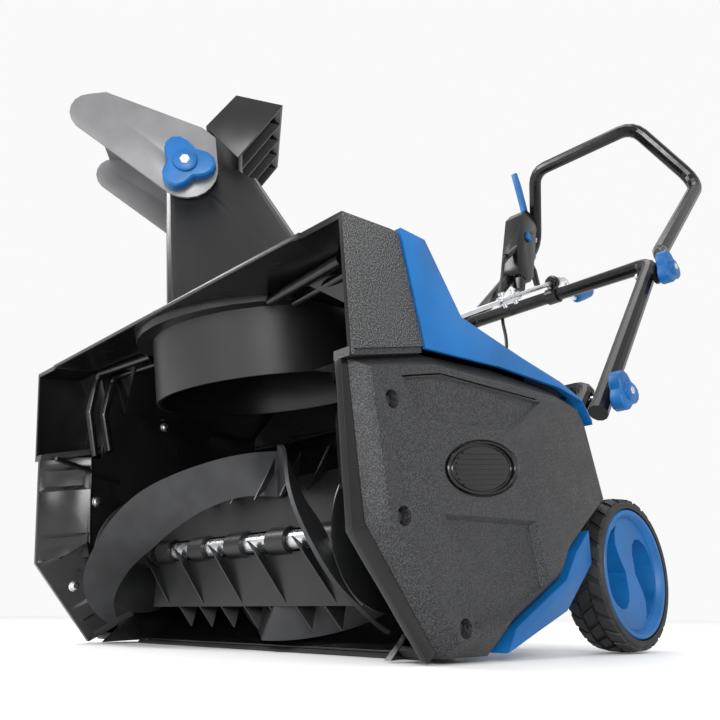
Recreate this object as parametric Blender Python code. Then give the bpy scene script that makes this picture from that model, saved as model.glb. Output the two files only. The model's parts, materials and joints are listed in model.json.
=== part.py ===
"""Corded single-stage snow thrower, built piece by piece as it comes apart on a bench.

Frame: metres, +Z up.  The origin is on the ground, in the middle of the scraper bar's
underside.  The intake faces -Y, the operator stands at +Y, and +X is the right-hand side
seen from the front.
"""
import math

import bmesh
import bpy
from mathutils import Matrix, Vector

# ---- driving dimensions (metres, degrees) ------------------------------------------------
GAP = 0.0004                    # air between pieces that rest on each other
WALL = 0.003                    # moulded wall thickness
HALF_WIDTH = 0.245              # outer faces of the side covers and wheels
SIDE_WALL_IN = 0.196            # auger chamber's inner faces
SIDE_WALL_OUT = 0.202

FRONT_TOP = (-0.142, 0.275)     # front rim in side view, top, knee and toe (y, z)
FRONT_KNEE = (-0.120, 0.075)
FRONT_TOE = (-0.056, 0.001)
ROOF_REAR_Y = 0.118
ROOF_Z = 0.280

AUGER_Y, AUGER_Z = -0.027, 0.087
AUGER_RADIUS = 0.080
CHAMBER_RADIUS = 0.0835
SHAFT_RADIUS = 0.008
MOTOR_Y, MOTOR_Z = 0.115, 0.140
MOTOR_RADIUS = 0.040
AUGER_PULLEY_RADIUS = 0.046
MOTOR_PULLEY_RADIUS = 0.014
BELT_THICKNESS = 0.003
BELT_X = 0.2135
BELT_WIDTH = 0.012

WHEEL_Y, WHEEL_Z = 0.208, 0.0645
TYRE_RADIUS = 0.0643
DISC_RADIUS = 0.0541
TYRE_WIDTH = 0.038

CHUTE_TILT = 10.0               # the chute axis leans towards the front
CHUTE_TURN = -36.0              # the chute is turned to this angle about its own axis
CHUTE_BASE = Vector((0.0, -0.006, 0.228))
COLLAR_RADIUS = 0.108
WELL_RADIUS = 0.123
RING_RADIUS = 0.1185
RING_LOW, RING_HIGH = 0.0620, 0.0685
DEFLECTOR_FORWARD, DEFLECTOR_UP = 0.062, 0.210
HOOD_HALF_WIDTH = 0.064

LEG_X = 0.162                   # middle and upper handle tubes
LEG_RADIUS = 0.0115
LOWER_TUBE_X = 0.137
LOWER_TUBE_RADIUS = 0.0095
LOWER_PIVOT = (0.345, 0.268)
CROSSBAR = (0.524, 0.499)
HANDLE_CORNER = (0.758, 0.732)
HANDLE_TOP = (0.671, 0.837)
HANDLE_TOP_HALF = 0.099
UPPER_PIVOT_REACH = 0.2615      # from the lower pivot towards the crossbar

RING_SIDES = 36


# ---- scene and materials -------------------------------------------------------------------
def clear_scene():
    for obj in list(bpy.data.objects):
        bpy.data.objects.remove(obj, do_unlink=True)


def make_material(name, colour, roughness, metallic=0.0):
    material = bpy.data.materials.new(name)
    material.use_nodes = True
    shader = material.node_tree.nodes["Principled BSDF"]
    shader.inputs["Base Color"].default_value = (*colour, 1.0)
    shader.inputs["Roughness"].default_value = roughness
    shader.inputs["Metallic"].default_value = metallic
    return material


PALETTE = {
    "housing_plastic": ((0.018, 0.018, 0.020), 0.35),
    "textured_plastic": ((0.040, 0.041, 0.044), 0.70),
    "blue_plastic": ((0.012, 0.125, 0.370), 0.45),
    "chute_plastic": ((0.035, 0.036, 0.038), 0.40),
    "rubber": ((0.015, 0.015, 0.016), 0.80),
    "painted_tube": ((0.012, 0.012, 0.013), 0.25),
    "zinc_steel": ((0.560, 0.570, 0.580), 0.35, 1.0),
    "dark_steel": ((0.080, 0.080, 0.085), 0.45, 0.9),
    "belt_rubber": ((0.020, 0.020, 0.020), 0.75),
    "motor_metal": ((0.300, 0.300, 0.310), 0.45, 0.9),
    "auger_plastic": ((0.050, 0.051, 0.054), 0.45),
    "cable_rubber": ((0.012, 0.012, 0.012), 0.60),
}
MATERIALS = {}


def finish(obj, material_name, origin=None, sharp_angle=35.0):
    """Give a piece its material and shading, and move its origin to a point in the world."""
    obj.data.materials.clear()
    obj.data.materials.append(MATERIALS[material_name])
    obj.data.shade_smooth()
    obj.data.set_sharp_from_angle(angle=math.radians(sharp_angle))
    if origin is not None:
        point = Vector(origin)
        obj.data.transform(Matrix.Translation(-point))
        obj.location = point
    return obj


# ---- solid-making helpers ----------------------------------------------------------------------
def new_object(name, bm):
    bmesh.ops.recalc_face_normals(bm, faces=bm.faces)
    mesh = bpy.data.meshes.new(name)
    bm.to_mesh(mesh)
    bm.free()
    obj = bpy.data.objects.new(name, mesh)
    bpy.context.scene.collection.objects.link(obj)
    return obj


def prism(name, outline, low, high):
    """Extrude a closed (y, z) outline along X from low to high."""
    bm = bmesh.new()
    face = bm.faces.new([bm.verts.new((low, y, z)) for y, z in outline])
    grown = bmesh.ops.extrude_face_region(bm, geom=[face])["geom"]
    moved = [item for item in grown if isinstance(item, bmesh.types.BMVert)]
    bmesh.ops.translate(bm, verts=moved, vec=(high - low, 0.0, 0.0))
    return new_object(name, bm)


def hull(name, points):
    """The convex solid around a set of points."""
    bm = bmesh.new()
    for point in points:
        bm.verts.new(point)
    result = bmesh.ops.convex_hull(bm, input=bm.verts)
    unused = {v for v in result["geom_unused"] if isinstance(v, bmesh.types.BMVert)}
    unused |= {v for v in result["geom_interior"] if isinstance(v, bmesh.types.BMVert)}
    bmesh.ops.delete(bm, geom=list(unused), context="VERTS")
    return new_object(name, bm)


def box(name, low, high):
    corners = [(x, y, z) for x in (low[0], high[0]) for y in (low[1], high[1])
               for z in (low[2], high[2])]
    return hull(name, corners)


def axis_matrix(start, direction):
    """A frame whose +Z runs along the direction from the start point."""
    turn = Vector(direction).normalized().to_track_quat("Z", "Y").to_matrix().to_4x4()
    return Matrix.Translation(Vector(start)) @ turn


def turned(name, profile, start, direction, sides=RING_SIDES):
    """Turn a closed (radius, height) profile about an axis; radius 0 points sit on the axis."""
    bm = bmesh.new()
    rings = []
    for radius, height in profile:
        if radius == 0.0:
            rings.append([bm.verts.new((0.0, 0.0, height))])
            continue
        angles = [2.0 * math.pi * step / sides for step in range(sides)]
        rings.append([bm.verts.new((radius * math.cos(a), radius * math.sin(a), height))
                      for a in angles])
    for index, ring in enumerate(rings):
        other = rings[(index + 1) % len(rings)]
        for step in range(sides):
            after = (step + 1) % sides
            if len(ring) == 1 and len(other) == 1:
                continue
            if len(ring) == 1:
                bm.faces.new((ring[0], other[after], other[step]))
            elif len(other) == 1:
                bm.faces.new((ring[step], ring[after], other[0]))
            else:
                bm.faces.new((ring[step], ring[after], other[after], other[step]))
    bm.transform(axis_matrix(start, direction))
    return new_object(name, bm)


def cylinder(name, start, end, radius, sides=24):
    length = (Vector(end) - Vector(start)).length
    profile = [(0.0, 0.0), (radius, 0.0), (radius, length), (0.0, length)]
    return turned(name, profile, start, Vector(end) - Vector(start), sides)


def pipe(name, start, end, outer, inner, sides=24):
    length = (Vector(end) - Vector(start)).length
    profile = [(inner, 0.0), (outer, 0.0), (outer, length), (inner, length)]
    return turned(name, profile, start, Vector(end) - Vector(start), sides)


def sweep(name, stations, side_axis=(1.0, 0.0, 0.0), sides=12):
    """Loft ellipses along stations of (centre, half across, half through).

    The section's first axis is the side axis made square to the path.
    """
    bm = bmesh.new()
    centres = [Vector(station[0]) for station in stations]
    rings = []
    across = Vector(side_axis)
    for index, (_, half_a, half_b) in enumerate(stations):
        before = centres[max(index - 1, 0)]
        after = centres[min(index + 1, len(centres) - 1)]
        along = (after - before).normalized()
        across = (across - along * across.dot(along)).normalized()
        through = along.cross(across)
        ring = []
        for step in range(sides):
            angle = 2.0 * math.pi * step / sides
            offset = across * (half_a * math.cos(angle)) + through * (half_b * math.sin(angle))
            ring.append(bm.verts.new(centres[index] + offset))
        rings.append(ring)
    for ring, other in zip(rings, rings[1:]):
        for step in range(sides):
            after = (step + 1) % sides
            bm.faces.new((ring[step], ring[after], other[after], other[step]))
    bm.faces.new(rings[0])
    bm.faces.new(rings[-1])
    return new_object(name, bm)


def rounded_path(points, radius, steps=5):
    """A polyline whose corners are replaced by arcs of the given radius."""
    path = [Vector(points[0])]
    for before, corner, after in zip(points, points[1:], points[2:]):
        corner = Vector(corner)
        toward = (Vector(before) - corner).normalized()
        onward = (Vector(after) - corner).normalized()
        half = toward.angle(onward) / 2.0
        reach = radius / math.tan(half)
        centre = corner + (toward + onward).normalized() * (radius / math.sin(half))
        first = corner + toward * reach - centre
        last = corner + onward * reach - centre
        for step in range(steps + 1):
            spoke = first.normalized().slerp(last.normalized(), step / steps)
            path.append(centre + spoke * radius)
    path.append(Vector(points[-1]))
    return path


def tube(name, points, radius, bend, side_axis=(1.0, 0.0, 0.0), sides=12, steps=4):
    path = rounded_path(points, bend, steps)
    return sweep(name, [(point, radius, radius) for point in path], side_axis, sides)


def apply_boolean(obj, tool, operation):
    """Combine two solids with an exact boolean and remove the tool."""
    modifier = obj.modifiers.new("combine", "BOOLEAN")
    modifier.operation = operation
    modifier.solver = "EXACT"
    modifier.object = tool
    graph = bpy.context.evaluated_depsgraph_get()
    mesh = bpy.data.meshes.new_from_object(obj.evaluated_get(graph))
    obj.modifiers.clear()
    obj.data = mesh
    bpy.data.objects.remove(tool, do_unlink=True)


def cut(obj, *tools):
    for tool in tools:
        apply_boolean(obj, tool, "DIFFERENCE")
    return obj


def join(obj, *tools):
    for tool in tools:
        apply_boolean(obj, tool, "UNION")
    return obj


def arc(centre, radius, start, end, steps):
    """Points on a (y, z) arc, angles in degrees from +Y towards +Z."""
    angles = [math.radians(start + (end - start) * step / steps) for step in range(steps + 1)]
    return [(centre[0] + radius * math.cos(a), centre[1] + radius * math.sin(a)) for a in angles]


# ---- body shell -----------------------------------------------------------------------------------
def chamber_outline(offset):
    """The auger chamber in side view, grown outwards by an offset, open to the front."""
    volute = arc((AUGER_Y, AUGER_Z), CHAMBER_RADIUS + offset, -80.0, 30.0, 10)
    return ([(-0.200, 0.2645 + offset), (-0.142, 0.2715 + offset),
             (-0.096, ROOF_Z - WALL + offset), (ROOF_REAR_Y + offset, ROOF_Z - WALL + offset),
             (ROOF_REAR_Y + offset, 0.222)] + volute[::-1] + [(-0.020, -0.050), (-0.200, -0.050)])


def shoulder(side, sink):
    """The region taken off each upper rear shoulder so that the roof narrows to the rear."""
    low, high = 0.198 - sink, 0.284 - sink
    slope_in, slope_out = 0.140 - sink, 0.260
    front_low, front_high = -0.030 - sink, -0.078 - sink
    points = []
    for y_low, y_high, x_edge, z_edge in ((front_low, front_high, slope_out, low),
                                          (0.200, 0.200, slope_out, low)):
        points.append((side * slope_in, y_high, high))
        points.append((side * x_edge, y_low, z_edge))
        points.append((side * slope_in, y_high, 0.320))
        points.append((side * slope_out, y_high, 0.320))
    return hull("shoulder_tool", points)


def side_outline():
    """The housing's side wall seen from the side."""
    return [FRONT_TOP, FRONT_KNEE, FRONT_TOE, (0.004, 0.0035), (0.030, 0.022), (0.100, 0.056),
            (0.118, 0.076), (0.120, 0.210), (ROOF_REAR_Y + WALL, 0.240),
            (ROOF_REAR_Y + WALL, ROOF_Z), (-0.096, ROOF_Z)]


def front_frame(side):
    """The rim down one side of the intake and the roof's cheek above the side cover."""
    outline = [(-0.1410, 0.2748), (-0.1193, 0.0752), (-0.0560, 0.0016), (-0.0500, 0.0050),
               (-0.1140, 0.0790), (-0.1285, 0.1840), (-0.0635, 0.2020), (-0.0880, 0.2795),
               (-0.0960, 0.2795)]
    low, high = sorted((side * (SIDE_WALL_OUT - 0.003), side * (HALF_WIDTH - 0.001)))
    return prism("front_frame", outline, low, high)


def auger_housing():
    """One moulded bucket: roof, back volute and side walls, with a rim across the front."""
    housing = prism("auger_housing", side_outline(), -SIDE_WALL_OUT, SIDE_WALL_OUT)
    cut(housing, shoulder(1, 0.0), shoulder(-1, 0.0))
    for side in (1, -1):
        join(housing, front_frame(side))
    chamber = prism("chamber_tool", chamber_outline(0.0), -SIDE_WALL_IN, SIDE_WALL_IN)
    cut(chamber, shoulder(1, 0.005), shoulder(-1, 0.005))
    cut(housing, chamber)
    behind = [(0.046, 0.0365), (0.098, 0.062), (0.130, 0.074), (0.130, 0.203),
              (0.112, 0.206)] + arc((AUGER_Y, AUGER_Z), CHAMBER_RADIUS + WALL, 24.0, -38.0, 6)
    cut(housing, prism("motor_bay_tool", behind, -SIDE_WALL_IN, SIDE_WALL_IN))
    for side in (1, -1):
        cut(housing, cylinder("shaft_hole", (side * 0.18, AUGER_Y, AUGER_Z),
                              (side * 0.21, AUGER_Y, AUGER_Z), 0.0135))
    inside = SIDE_WALL_IN
    cut(housing, box("scraper_seat", (-inside, -0.06, -0.01), (inside, 0.022, 0.0034)))
    axis = chute_axis()
    hole_start = CHUTE_BASE - axis * 0.002
    cut(housing, cylinder("collar_hole", hole_start, CHUTE_BASE + axis * 0.10,
                          WELL_RADIUS + GAP, RING_SIDES))
    motor_hole = cylinder("motor_hole", (0.18, MOTOR_Y, MOTOR_Z), (0.21, MOTOR_Y, MOTOR_Z), 0.0086)
    cut(housing, motor_hole)
    return finish(housing, "housing_plastic")


def side_cover_outline(inset=0.0):
    outline = [(-0.126, 0.180), (-0.062, 0.199), (0.023, 0.207), (0.107, 0.208), (0.141, 0.202),
               (0.152, 0.188), (0.174, 0.124), (0.113, 0.076), (0.100, 0.057), (0.030, 0.022),
               (0.004, 0.0035), (-0.042, 0.0030), (-0.053, 0.0125), (-0.110, 0.081)]
    if inset == 0.0:
        return outline
    centre = Vector((0.025, 0.110))
    shrunk = []
    for y, z in outline:
        away = Vector((y, z)) - centre
        shrunk.append(tuple(centre + away * (1.0 - inset / away.length)))
    return shrunk


def side_cover(name, side):
    """A deep tray over the side wall; its outer face is bevelled all round."""
    bm = bmesh.new()
    levels = ((SIDE_WALL_OUT + GAP, 0.0), (HALF_WIDTH - 0.010, 0.0), (HALF_WIDTH, 0.012))
    rings = []
    for x, inset in levels:
        rings.append([bm.verts.new((side * x, y, z)) for y, z in side_cover_outline(inset)])
    for ring, other in zip(rings, rings[1:]):
        for step in range(len(ring)):
            after = (step + 1) % len(ring)
            bm.faces.new((ring[step], ring[after], other[after], other[step]))
    bm.faces.new(rings[0])
    bm.faces.new(rings[-1])
    cover = new_object(name, bm)
    low, high = sorted((side * (SIDE_WALL_OUT - 0.01), side * (HALF_WIDTH - 0.014)))
    cut(cover, prism("tray_tool", side_cover_outline(0.004), low, high))
    for y, z in cover_screw_places():
        cut(cover, cylinder("screw_pocket", (side * 0.236, y, z), (side * 0.26, y, z), 0.0062))
        join(cover, cylinder("screw_post", (side * (SIDE_WALL_OUT + GAP), y, z),
                             (side * 0.236, y, z), 0.0066, 16))
    return finish(cover, "textured_plastic")


def cover_screw_places():
    return [(-0.096, 0.158), (-0.086, 0.086), (-0.030, 0.021)]


def cover_screw(name, side, place):
    y, z = place
    start = (side * (0.236 + GAP), y, z)
    return finish(turned(name, [(0.0, 0.0), (0.0052, 0.0), (0.0052, 0.0025), (0.0030, 0.0040),
                                (0.0, 0.0040)], start, (side, 0, 0), 16), "dark_steel")


def shroud_outline(offset):
    """The shroud's low sides in side view."""
    return [(-0.0865 + offset, 0.2835 - offset), (-0.061, 0.2835 - offset),
            (-0.022, 0.235 - offset), (0.051, 0.2225 - offset), (0.108, 0.2145 - offset),
            (0.141, 0.206 - offset), (0.156 - offset, 0.190), (0.156 - offset, 0.186),
            (0.1425, 0.2040), (0.107, 0.2090), (0.023, 0.2075), (-0.0625 + offset, 0.2005)]


def shroud_hump(name, offset):
    """The raised middle of the shroud over the chute collar and the motor."""
    half = 0.155 - offset
    top = 0.2885 - offset
    rear = 0.176 - offset
    points = []
    for side in (1, -1):
        points += [(side * half, -0.0865 + offset, top - 0.005), (side * half, 0.118, top),
                   (side * half, 0.1325, top - 0.008), (side * (half - 0.012), rear, 0.226),
                   (side * (half - 0.012), rear, 0.190), (side * (0.241 - offset), 0.130, 0.209),
                   (side * (0.241 - offset), -0.030, 0.2225 - offset),
                   (side * (0.241 - offset), 0.130, 0.206 - offset),
                   (side * (0.241 - offset), -0.030, 0.200 - offset),
                   (side * half, -0.0865 + offset, 0.200)]
    return hull(name, points)


def upper_shroud():
    """The blue top shell: low sides, a raised middle and an opening round the chute collar."""
    shroud = prism("upper_shroud", shroud_outline(0.0), -HALF_WIDTH, HALF_WIDTH)
    join(shroud, shroud_hump("hump", 0.0))
    inner = shroud_hump("inner", WALL)
    cut(shroud, inner)
    inside = 0.242
    cut(shroud, prism("inside_tool", [(-0.120, 0.2808), (-0.064, 0.2808), (-0.025, 0.232),
                                      (0.051, 0.219), (0.108, 0.211), (0.138, 0.203),
                                      (0.150, 0.188), (0.150, 0.150), (-0.120, 0.150)],
                      -inside, inside))
    axis = chute_axis()
    for side in (1, -1):
        low, high = sorted((side * (SIDE_WALL_OUT - 0.0003), side * 0.260))
        cut(shroud, prism("cover_clearance", side_cover_outline(-0.0006), low, high))
    cut(shroud, cylinder("collar_clearance", CHUTE_BASE, CHUTE_BASE + axis * 0.12,
                         WELL_RADIUS + GAP, RING_SIDES))
    return finish(shroud, "blue_plastic")


def rear_cover():
    """The rear casing behind the motor, from the shroud down to the belly."""
    outer = [(0.1235, 0.0850), (0.1520, 0.1075), (0.1665, 0.1175), (0.1735, 0.1250),
             (0.1525, 0.1860), (0.1235, 0.1860)]
    inner = [(0.1100, 0.0890), (0.1225, 0.0890), (0.1505, 0.1110), (0.1640, 0.1205),
             (0.1695, 0.1262), (0.1498, 0.1830), (0.1100, 0.1830)]
    half = SIDE_WALL_OUT - 0.0005
    cover = prism("rear_cover", outer, -half, half)
    cut(cover, prism("rear_inside", inner, -half + WALL, half - WALL))
    for row in range(5):
        low = 0.130 + row * 0.010
        cut(cover, box("vent", (-0.150, 0.140, low), (-0.060, 0.200, low + 0.004)))
    return finish(cover, "housing_plastic")


def belly_cover():
    """The blue strip that closes the machine from below, between scraper and wheels."""
    outer = [(0.021, 0.0045), (0.100, 0.0325), (0.1415, 0.0685), (0.158, 0.106), (0.152, 0.1040),
             (0.1195, 0.0765), (0.1025, 0.0555), (0.0325, 0.0210)]
    half = 0.240
    belly = prism("belly_cover", outer, -half, half)
    for side in (1, -1):
        low, high = sorted((side * 0.204, side * 0.250))
        trim = [(0.1425, 0.0), (0.200, 0.0), (0.200, 0.135), (0.1425, 0.135)]
        cut(belly, prism("wheel_arch", trim, low, high))
    return finish(belly, "blue_plastic")


def scraper_bar():
    outline = [(-0.017, 0.0), (0.017, 0.0), (0.017, 0.003), (-0.015, 0.003), (-0.017, 0.0015)]
    return finish(prism("scraper_bar", outline, -0.1955, 0.1955), "rubber")


# ---- auger ---------------------------------------------------------------------------------------
def auger_point(radius, angle, x):
    turn = math.radians(angle)
    return (x, AUGER_Y + radius * math.cos(turn), AUGER_Z + radius * math.sin(turn))


def auger_shaft():
    shaft = cylinder("auger_shaft", (-0.207, AUGER_Y, AUGER_Z), (0.2245, AUGER_Y, AUGER_Z),
                     SHAFT_RADIUS, 20)
    return finish(shaft, "zinc_steel", (0, AUGER_Y, AUGER_Z))


def auger_rotor():
    """The moulded core: a sleeve on the shaft, end discs, two throwing plates and ribs."""
    sleeve = pipe("auger_rotor", (-0.180, AUGER_Y, AUGER_Z), (0.180, AUGER_Y, AUGER_Z),
                  0.0140, SHAFT_RADIUS + GAP, 20)
    for face in (80.0, 260.0):
        inner, outer = 0.0125, 0.0500
        half = 0.096
        plate = []
        for x in (-half, half):
            for radius, lean in ((inner, -9.0), (inner, 9.0), (outer, 2.4), (outer, -2.4)):
                plate.append(auger_point(radius, face + lean, x))
        join(sleeve, hull("throw_plate", plate))
        for step in range(5):
            x = -0.080 + step * 0.040
            rib = []
            for x_side in (x - 0.0013, x + 0.0013):
                rib += [auger_point(inner, face - 55.0, x_side), auger_point(0.047, face, x_side),
                        auger_point(inner, face, x_side)]
            join(sleeve, hull("rib", rib))
    for side in (1, -1):
        disc = pipe("end_disc", (side * 0.1762, AUGER_Y, AUGER_Z),
                    (side * 0.1787, AUGER_Y, AUGER_Z), 0.058, 0.0115, 28)
        join(sleeve, disc)
    return finish(sleeve, "auger_plastic", (0, AUGER_Y, AUGER_Z))


def auger_flight(name, side, face):
    """A curved blade band that winds from one end of the rotor up to its middle."""
    steps = 16
    bm = bmesh.new()
    rings = []
    for step in range(steps + 1):
        share = step / steps
        x = side * (0.1725 - 0.1675 * share)
        angle = face + 118.0 * (1.0 - share) ** 1.15
        inner = 0.0430 + 0.0085 * share ** 2
        outer = AUGER_RADIUS - 0.010 * (1.0 - share) ** 3
        half = 0.0016 + 0.0006 * math.sin(math.pi * share)
        lean = math.degrees(half / outer)
        ring = []
        for radius, turn, slide in ((inner, lean, -half), (outer, lean, -half),
                                    (outer, -lean, half), (inner, -lean, half)):
            ring.append(bm.verts.new(auger_point(radius, angle + turn, x + side * slide)))
        rings.append(ring)
    for ring, other in zip(rings, rings[1:]):
        for index in range(4):
            after = (index + 1) % 4
            bm.faces.new((ring[index], ring[after], other[after], other[index]))
    bm.faces.new(rings[0])
    bm.faces.new(rings[-1])
    return finish(new_object(name, bm), "rubber", (0, AUGER_Y, AUGER_Z))


def bearing(name, side):
    """A flanged bearing pressed into the side wall from outside."""
    start = (side * 0.1900, AUGER_Y, AUGER_Z)
    profile = [(SHAFT_RADIUS + GAP, 0.0), (0.013, 0.0), (0.013, 0.0124), (0.021, 0.0124),
               (0.021, 0.0150), (SHAFT_RADIUS + GAP, 0.0150)]
    return finish(turned(name, profile, start, (side, 0, 0), 28), "zinc_steel")


# ---- drive ---------------------------------------------------------------------------------------
def pulley(name, y, z, radius, bore):
    half = BELT_WIDTH / 2.0 - 0.001
    profile = [(bore, -half), (radius + 0.003, -half), (radius + 0.003, 0.0014 - half),
               (radius, 0.0022 - half), (radius, half - 0.0022), (radius + 0.003, half - 0.0014),
               (radius + 0.003, half), (bore, half)]
    start = (BELT_X, y, z)
    return finish(turned(name, profile, start, (1, 0, 0), 28), "dark_steel", (0, y, z))


def belt_loop(big, small, grow):
    """The open belt's outline round the two pulleys, grown by an amount."""
    span = Vector((MOTOR_Y - AUGER_Y, MOTOR_Z - AUGER_Z))
    heading = math.degrees(math.atan2(span.y, span.x))
    spread = math.degrees(math.acos((big - small) / span.length))
    around_big = arc((AUGER_Y, AUGER_Z), big + grow, heading + spread, heading + 360 - spread, 26)
    around_small = arc((MOTOR_Y, MOTOR_Z), small + grow, heading - spread, heading + spread, 10)
    return around_big + around_small


def drive_belt():
    low = BELT_X - BELT_WIDTH / 2.0 + 0.0036
    high = BELT_X + BELT_WIDTH / 2.0 - 0.0036
    belt = prism("drive_belt", belt_loop(AUGER_PULLEY_RADIUS, MOTOR_PULLEY_RADIUS,
                                         GAP + BELT_THICKNESS), low, high)
    cut(belt, prism("belt_inside", belt_loop(AUGER_PULLEY_RADIUS, MOTOR_PULLEY_RADIUS, GAP),
                    low - 0.01, high + 0.01))
    return finish(belt, "belt_rubber")


def motor():
    """The motor can, with its end boss standing in the side wall."""
    profile = [(0.0, 0.0), (0.016, 0.0), (0.016, 0.010), (0.034, 0.010), (MOTOR_RADIUS, 0.018),
               (MOTOR_RADIUS, 0.150), (0.034, 0.160), (0.0080, 0.160), (0.0080, 0.1985),
               (0.0, 0.1985)]
    return finish(turned("motor", profile, (0.003, MOTOR_Y, MOTOR_Z), (1, 0, 0), 36),
                  "motor_metal")


def motor_shaft():
    shaft = cylinder("motor_shaft", (0.2019, MOTOR_Y, MOTOR_Z), (0.222, MOTOR_Y, MOTOR_Z),
                     0.005, 16)
    return finish(shaft, "zinc_steel", (0, MOTOR_Y, MOTOR_Z))


# ---- chute ---------------------------------------------------------------------------------------
def chute_axis():
    tilt = math.radians(CHUTE_TILT)
    return Vector((0.0, -math.sin(tilt), math.cos(tilt)))


def chute_frame(turn=CHUTE_TURN):
    """Chute coordinates (right, forward, up) to the world, at a turn about the chute's axis."""
    up = chute_axis()
    right = Vector((1.0, 0.0, 0.0))
    forward = up.cross(right) * -1.0
    angle = math.radians(turn)
    ahead = forward * math.cos(angle) + right * math.sin(angle)
    across = right * math.cos(angle) - forward * math.sin(angle)
    return Matrix((across, ahead, up)).transposed().to_4x4()


def in_chute(obj):
    obj.data.transform(Matrix.Translation(CHUTE_BASE) @ chute_frame())
    obj.data.update()
    bm = bmesh.new()
    bm.from_mesh(obj.data)
    bmesh.ops.recalc_face_normals(bm, faces=bm.faces)
    bm.to_mesh(obj.data)
    bm.free()
    return obj


def chute_collar():
    """The fixed collar: a tube into the auger chamber under a wider well for the ring."""
    floor = RING_LOW - GAP
    inner = COLLAR_RADIUS - WALL
    profile = [(inner, 0.0), (COLLAR_RADIUS, 0.0), (COLLAR_RADIUS, floor - WALL),
               (WELL_RADIUS, floor - WALL), (WELL_RADIUS, 0.0720), (WELL_RADIUS - WALL, 0.0720),
               (WELL_RADIUS - WALL, floor), (inner, floor)]
    collar = turned("chute_collar", profile, CHUTE_BASE, chute_axis(), RING_SIDES)
    return finish(collar, "chute_plastic")


def chute_ring():
    """The ring that turns on the collar, under the chute's foot."""
    inner = COLLAR_RADIUS - WALL
    profile = [(inner - 0.003, RING_LOW), (RING_RADIUS, RING_LOW), (RING_RADIUS, RING_HIGH),
               (inner - 0.003, RING_HIGH)]
    return finish(turned("chute_ring", profile, CHUTE_BASE, chute_axis(), RING_SIDES),
                  "chute_plastic", CHUTE_BASE)


def chute_section(height, sides_per_corner=3):
    """The chute's rounded outline (right, forward) at a height above its base."""
    share = (height - 0.0745) / 0.140
    half = 0.079 - 0.026 * share
    rear = -0.064 + 0.066 * share
    front = 0.088 - 0.006 * share
    radius = 0.012 - 0.004 * share
    outline = []
    for centre_x, centre_y, first in ((half - radius, front - radius, 0.0),
                                      (radius - half, front - radius, 90.0),
                                      (radius - half, rear + radius, 180.0),
                                      (half - radius, rear + radius, 270.0)):
        for step in range(sides_per_corner + 1):
            angle = math.radians(first + 90.0 * step / sides_per_corner)
            outline.append((centre_x + radius * math.cos(angle),
                            centre_y + radius * math.sin(angle)))
    return outline


def loft_sections(name, sections):
    bm = bmesh.new()
    rings = [[bm.verts.new((x, y, height)) for x, y in outline] for outline, height in sections]
    for ring, other in zip(rings, rings[1:]):
        for step in range(len(ring)):
            after = (step + 1) % len(ring)
            bm.faces.new((ring[step], ring[after], other[after], other[step]))
    bm.faces.new(rings[0])
    bm.faces.new(rings[-1])
    return new_object(name, bm)


def shrink(outline, amount):
    centre = Vector((0.0, 0.03))
    result = []
    for x, y in outline:
        away = Vector((x, y)) - centre
        result.append(tuple(centre + away * (1.0 - amount / away.length)))
    return result


def chute_body():
    """The tapered tube of the chute on its base flange, open above and below."""
    base, top = RING_HIGH + GAP, 0.2260
    body = loft_sections("chute_body", [(chute_section(base), base), (chute_section(top), top)])
    flange = [(0.0, base), (0.1130, base), (0.1130, base + WALL), (0.0, base + WALL)]
    join(body, turned("flange", flange, (0, 0, 0), (0, 0, 1), RING_SIDES))
    inside = loft_sections("inside", [(shrink(chute_section(base - 0.01), WALL), base - 0.01),
                                      (shrink(chute_section(top + 0.01), WALL), top + 0.01)])
    cut(body, inside)
    pivot = (DEFLECTOR_FORWARD, DEFLECTOR_UP)
    slope = [(-0.020, 0.240), (-0.020, 0.203), (0.004, 0.203), (0.016, 0.2125), (0.040, 0.2125),
             (pivot[0] - 0.012, 0.2235), (pivot[0] + 0.008, 0.2235), (0.074, 0.205),
             (0.120, 0.186), (0.120, 0.240)]
    cut(body, prism("top_trim", slope, -0.120, 0.120))
    cut(body, cylinder("bolt_hole", (-0.09, *pivot), (0.09, *pivot), 0.0034, 16))
    return finish(in_chute(body), "chute_plastic", CHUTE_BASE)


def hood_outline():
    """The deflector's side wing in (forward, up), with a round lobe at its pivot."""
    pivot = (DEFLECTOR_FORWARD, DEFLECTOR_UP)
    lobe = arc(pivot, 0.029, 175.0, 320.0, 9)
    tip = arc((0.145, 0.271), 0.0185, -42.0, 88.0, 6)
    return lobe + tip + [(0.130, 0.291), (0.044, 0.2510), (0.033, 0.240)]


def deflector_hood():
    """The hinged hood: a trough of two wings joined by a top plate."""
    hood = prism("deflector_hood", hood_outline(), -HOOD_HALF_WIDTH, HOOD_HALF_WIDTH)
    inside = [(0.020, 0.150), (0.200, 0.150), (0.200, 0.290), (0.162, 0.290), (0.130, 0.287),
              (0.044, 0.247), (0.020, 0.236)]
    half = HOOD_HALF_WIDTH - WALL
    cut(hood, prism("hood_inside", inside, -half, half))
    pivot = (DEFLECTOR_FORWARD, DEFLECTOR_UP)
    cut(hood, cylinder("bolt_hole", (-0.09, *pivot), (0.09, *pivot), 0.0034, 16))
    return finish(in_chute(hood), "chute_plastic", deflector_pivot())


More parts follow.
